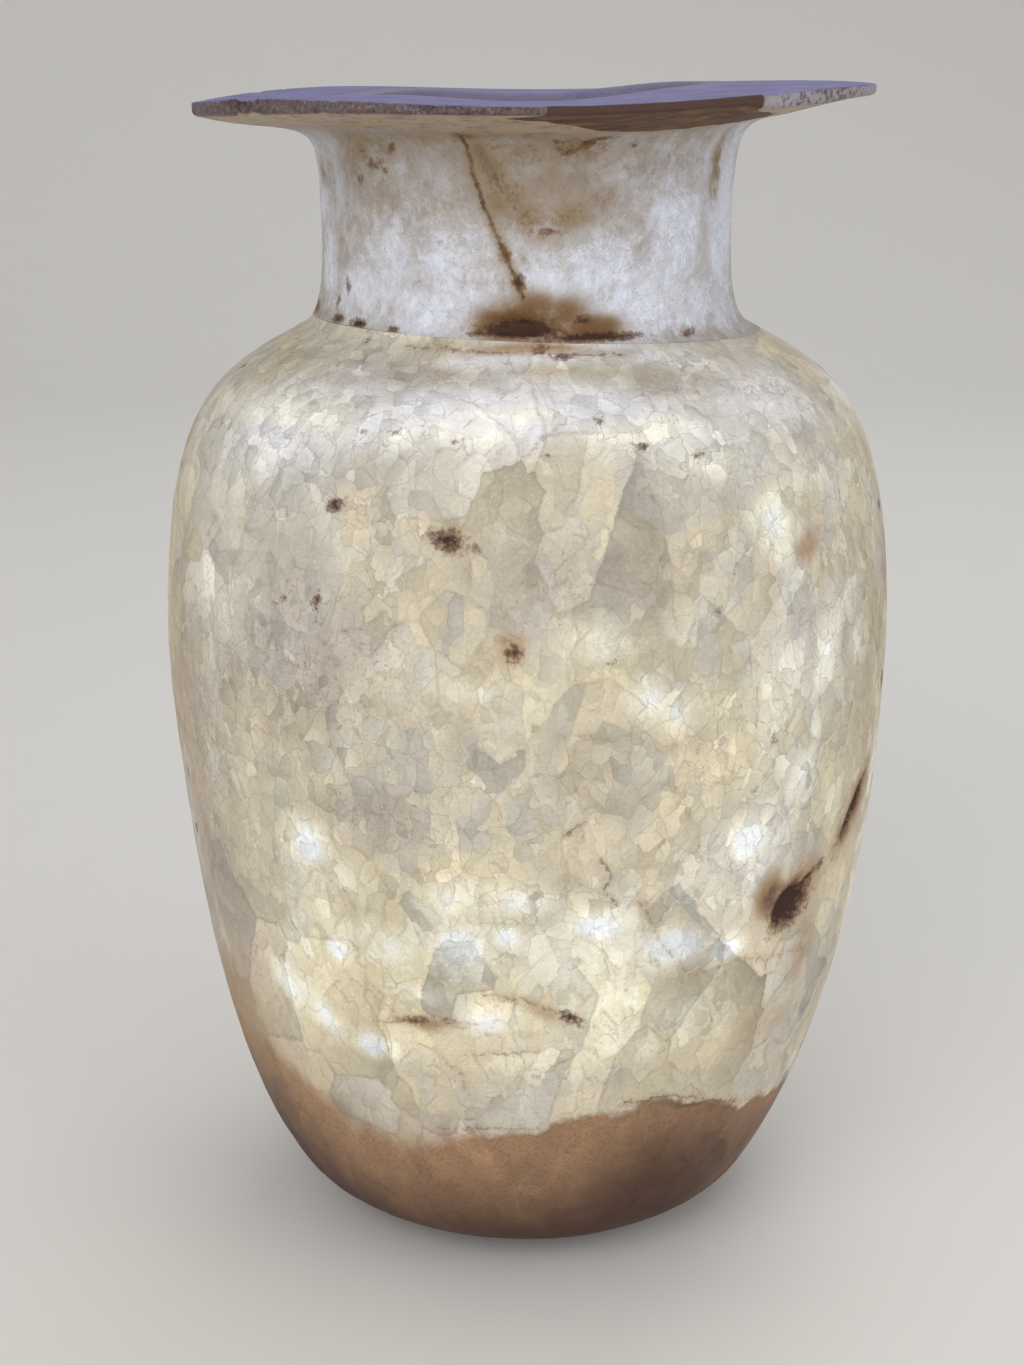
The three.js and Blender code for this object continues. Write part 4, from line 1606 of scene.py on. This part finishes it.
    def _depth(self, points: np.ndarray) -> np.ndarray:
        """How far the worn surface lies inside the true round form.

        Args:
            points: The vertices in millimetres.

        Returns:
            Depths of 0 or more, in millimetres.
        """
        radius = np.hypot(points[:, 0], points[:, 1])
        outside = self._outside(points)
        rim = smooth(radius, self.form.flare_radius, self.form.flare_radius + 10.0)
        broad = 0.22 * (1.0 + self.broad_wear.at(points))
        fine = 0.10 * (1.0 + self.fine_wear.at(points))
        worn = np.clip(broad + fine, 0.0, None)
        edge = smooth(radius, self.form.rim_radius - 3.0, self.form.rim_radius)
        chips = 0.9 * edge * smooth(self.chipping.at(points), 0.25, 0.75)
        ragged = 1.0 + 0.35 * self.hollow_sway.at(points)
        hollow = mixed(self.form, points, self.hollows) * ragged
        return (worn + hollow * (1.0 - rim)) * outside * (1.0 - 0.75 * rim) + chips


@dataclass
class RimFill(TurnedPiece):
    """The brown fill where a piece of the rim's underside is lost."""

    plan: tuple[Point, ...] = (
        (118, -83.5), (118, -53.8), (108, -53.2), (103, -48), (95, -38), (86, -30), (79, -34), (78.3, -42),
        (77.6, -54), (78.6, -65), (84.5, -75.6), (91.5, -81.5), (98.5, -88), (103, -94.5), (106, -92),
    )
    break_line: tuple[Point, ...] = (
        (120, 395.6), (109.6, 391.6), (98, 388.7), (84, 385.2), (76, 382.2), (70, 379),
    )
    outline_step: float = 1.6
    break_step: float = 2.0
    block_height: float = 30.0
    ragged: float = 0.55
    break_ragged: float = 0.35
    outline_sway: Waves = Waves(4.0, 39, 4)
    break_sway: Waves = Waves(5.0, 77)
    roughness: Waves = Waves(4.0, 92)

    def cutter(self, clearance: float) -> bpy.types.Object:
        """The lost piece as a ragged block, widened by a clearance.

        Args:
            clearance: How far it is widened, in millimetres.

        Returns:
            A scratch object.
        """
        corners = [(r * math.cos(math.radians(a)), r * math.sin(math.radians(a))) for r, a in self.plan]
        outline = np.array(resampled(corners + corners[:1], self.outline_step)[:-1])
        before, after = np.roll(outline, 1, axis=0), np.roll(outline, -1, axis=0)
        along = (after - before) / np.linalg.norm(after - before, axis=1)[:, None]
        outward = np.column_stack([along[:, 1], -along[:, 0]])
        bumps = self.outline_sway.at(np.column_stack([outline, np.zeros(len(outline))])) * self.ragged
        outline = outline + outward * (bumps + clearance)[:, None]
        bm = bmesh.new()
        ring = [bm.verts.new((x * MM, y * MM, (self.form.flare_height - 12.0) * MM)) for x, y in outline]
        base = bm.faces.new(ring)
        raised = bmesh.ops.extrude_face_region(bm, geom=[base])["geom"]
        top = [item for item in raised if isinstance(item, bmesh.types.BMVert)]
        bmesh.ops.translate(bm, verts=top, vec=(0.0, 0.0, self.block_height * MM))
        bmesh.ops.recalc_face_normals(bm, faces=bm.faces)
        slab = self.scratch(self.mesh_of(bm))
        below = self.scratch(self.mesh_of(self._below(clearance)))
        return self.scratch(joined(slab, below, "INTERSECT"))

    def _below(self, clearance: float) -> bmesh.types.BMesh:
        """All that lies under the break, which climbs from the root of the rim to its upper edge.

        Args:
            clearance: How far the break is raised, in millimetres.

        Returns:
            A closed ring.
        """
        low = self.form.flare_height - 14.0
        line = resampled(self.break_line, self.break_step)
        profile = [(70.0, low), (120.0, low)] + [(radius, height + clearance) for radius, height in line]
        bm = self.spun(profile + profile[:1])
        points = np.array([vert.co[:] for vert in bm.verts]) / MM
        flat = points.copy()
        flat[:, 2] = 0.0
        sway = self.break_ragged * self.break_sway.at(flat)
        for vert, lift, height in zip(bm.verts, sway, points[:, 2]):
            if height > low + 1.0:
                vert.co.z += float(lift) * MM
        bmesh.ops.recalc_face_normals(bm, faces=bm.faces)
        return bm

    def scratch(self, mesh: bpy.types.Mesh) -> bpy.types.Object:
        """A mesh as an object that only serves to cut.

        Args:
            mesh: The mesh.

        Returns:
            The object.
        """
        cutter = bpy.data.objects.new("scratch", mesh)
        self.folder.objects.link(cutter)
        return cutter

    def build(self, mesh: bpy.types.Mesh, neck: NeckAndRim, plaster: bpy.types.Material) -> bpy.types.Object:
        """Roughens and dresses the fill.

        Args:
            mesh: The fill in the true round form.
            neck: The neck and rim that it sits in.
            plaster: Its material.

        Returns:
            The piece.
        """
        points = self.places(mesh)
        neck.mark_rim(mesh, points)
        self.shape(mesh, points, 0.06 * (1.0 + self.roughness.at(points)))
        return self.place(mesh, plaster)


def joined(first: bpy.types.Object, second: bpy.types.Object, how: str) -> bpy.types.Mesh:
    """Cuts one scratch object with another and removes both.

    Args:
        first: What is cut.
        second: What cuts.
        how: INTERSECT or DIFFERENCE.

    Returns:
        The mesh that is left.
    """
    cut = first.modifiers.new("cut", "BOOLEAN")
    cut.operation = how
    cut.object = second
    cut.solver = "EXACT"
    mesh = bpy.data.meshes.new_from_object(first.evaluated_get(bpy.context.evaluated_depsgraph_get()))
    for scratch in (first, second):
        bpy.data.objects.remove(scratch)
    return mesh


@dataclass(frozen=True)
class Panel:
    """A square soft lamp: its name, place and side in metres, power in watts and colour."""

    name: str
    place: tuple[float, float, float]
    side: float
    energy: float
    color: Color

    def build(self, target: Vector) -> None:
        """Makes the lamp and aims it.

        Args:
            target: What it is aimed at, in metres.
        """
        lamp = bpy.data.lights.new(self.name, "AREA")
        lamp.size = self.side
        lamp.energy = self.energy
        lamp.color = self.color
        holder = bpy.data.objects.new(self.name, lamp)
        aim = target - Vector(self.place)
        holder.matrix_world = Matrix.Translation(self.place) @ aim.to_track_quat("-Z", "Y").to_matrix().to_4x4()
        bpy.context.scene.collection.objects.link(holder)


@dataclass
class Studio:
    """The floor, the light and the camera."""

    panels: tuple[Panel, ...] = (
        Panel("key", (-0.75, -1.6, 1.0), 1.5, 17.5, (1.0, 0.985, 0.96)),
        Panel("fill", (1.5, -1.0, 0.7), 1.4, 9.0, (0.98, 0.985, 1.0)),
        Panel("top", (0.5, 1.2, 1.8), 1.6, 9.0, (0.93, 0.95, 1.0)),
    )
    sky: Color = (1.0, 0.985, 0.965)
    sky_strength: float = 0.58
    floor_width: float = 9.0
    floor_front: float = -3.0
    floor_back: float = 3.2
    sweep: float = 1.4
    wall_height: float = 4.0
    focal: float = 2145.0
    clip_start: float = 0.02
    sensor: float = 36.0
    target: tuple[float, float, float] = (0.0, 0.0, 0.2)
    eye: tuple[float, float, float] = (0.0, -0.7299, 0.40775)
    pitch: float = 16.675
    yaw: float = 0.41

    def build(self) -> None:
        """Builds the whole studio."""
        self._floor()
        self._lights()
        self._camera()
        LOG.info("studio ready")

    def _floor(self) -> None:
        """A seamless floor that curves up into the backdrop."""
        bm = bmesh.new()
        half = self.floor_width / 2.0
        line = [(self.floor_front, 0.0), (self.floor_back - self.sweep, 0.0)]
        line += [
            (self.floor_back - self.sweep + self.sweep * math.sin(t), self.sweep - self.sweep * math.cos(t))
            for t in np.linspace(0.0, math.pi / 2.0, 24)[1:]
        ]
        line.append((self.floor_back, self.wall_height))
        corners = [bm.verts.new((-half, y, z)) for y, z in line]
        edges = [bm.edges.new(pair) for pair in zip(corners, corners[1:])]
        moved = bmesh.ops.extrude_edge_only(bm, edges=edges)["geom"]
        verts = [item for item in moved if isinstance(item, bmesh.types.BMVert)]
        bmesh.ops.translate(bm, verts=verts, vec=(self.floor_width, 0.0, 0.0))
        bmesh.ops.recalc_face_normals(bm, faces=bm.faces)
        ordered(bm)
        mesh = bpy.data.meshes.new("floor")
        bm.to_mesh(mesh)
        bm.free()
        mesh.shade_smooth()
        mesh.materials.append(StudioFloor().material())
        floor = bpy.data.objects.new("floor", mesh)
        bpy.context.scene.collection.objects.link(floor)

    def _lights(self) -> None:
        """Large soft lamps round the vase, and a pale sky."""
        for panel in self.panels:
            panel.build(Vector(self.target))
        world = bpy.data.worlds.new("pale_sky")
        world.use_nodes = True
        background = world.node_tree.nodes["Background"]
        background.inputs["Color"].default_value = (*self.sky, 1.0)
        background.inputs["Strength"].default_value = self.sky_strength
        bpy.context.scene.world = world

    def _camera(self) -> None:
        """The camera at the photograph's place and angle."""
        data = bpy.data.cameras.new("camera")
        data.sensor_width = self.sensor
        data.lens = self.focal * data.sensor_width / PHOTO_HEIGHT
        data.clip_start = self.clip_start
        camera = bpy.data.objects.new("camera", data)
        camera.location = self.eye
        camera.rotation_euler = (math.radians(90.0 - self.pitch), 0.0, math.radians(self.yaw))
        bpy.context.scene.collection.objects.link(camera)
        bpy.context.scene.camera = camera
        bpy.context.scene.view_settings.view_transform = "Standard"


def main() -> None:
    """Builds the vase and its studio in order."""
    logging.basicConfig(level=logging.INFO, format="%(name)s: %(message)s")
    form = VesselForm()
    Studio().build()
    Body(form, "stone_body", "body_stone", steps=440).build(CrystalStone().material())
    neck = NeckAndRim(form, "stone_neck_and_rim", "neck_stone", steps=420)
    fill = RimFill(form, "plaster_fill", "fill", steps=200)
    whole = neck.solid()
    held = joined(fill.scratch(whole.copy()), fill.cutter(0.0), "INTERSECT")
    rest = joined(fill.scratch(whole), fill.cutter(fill.seen_gap), "DIFFERENCE")
    neck.build(rest, NeckStone().material())
    fill.build(held, neck, TintedPlaster().material())


if __name__ == "__main__":
    main()
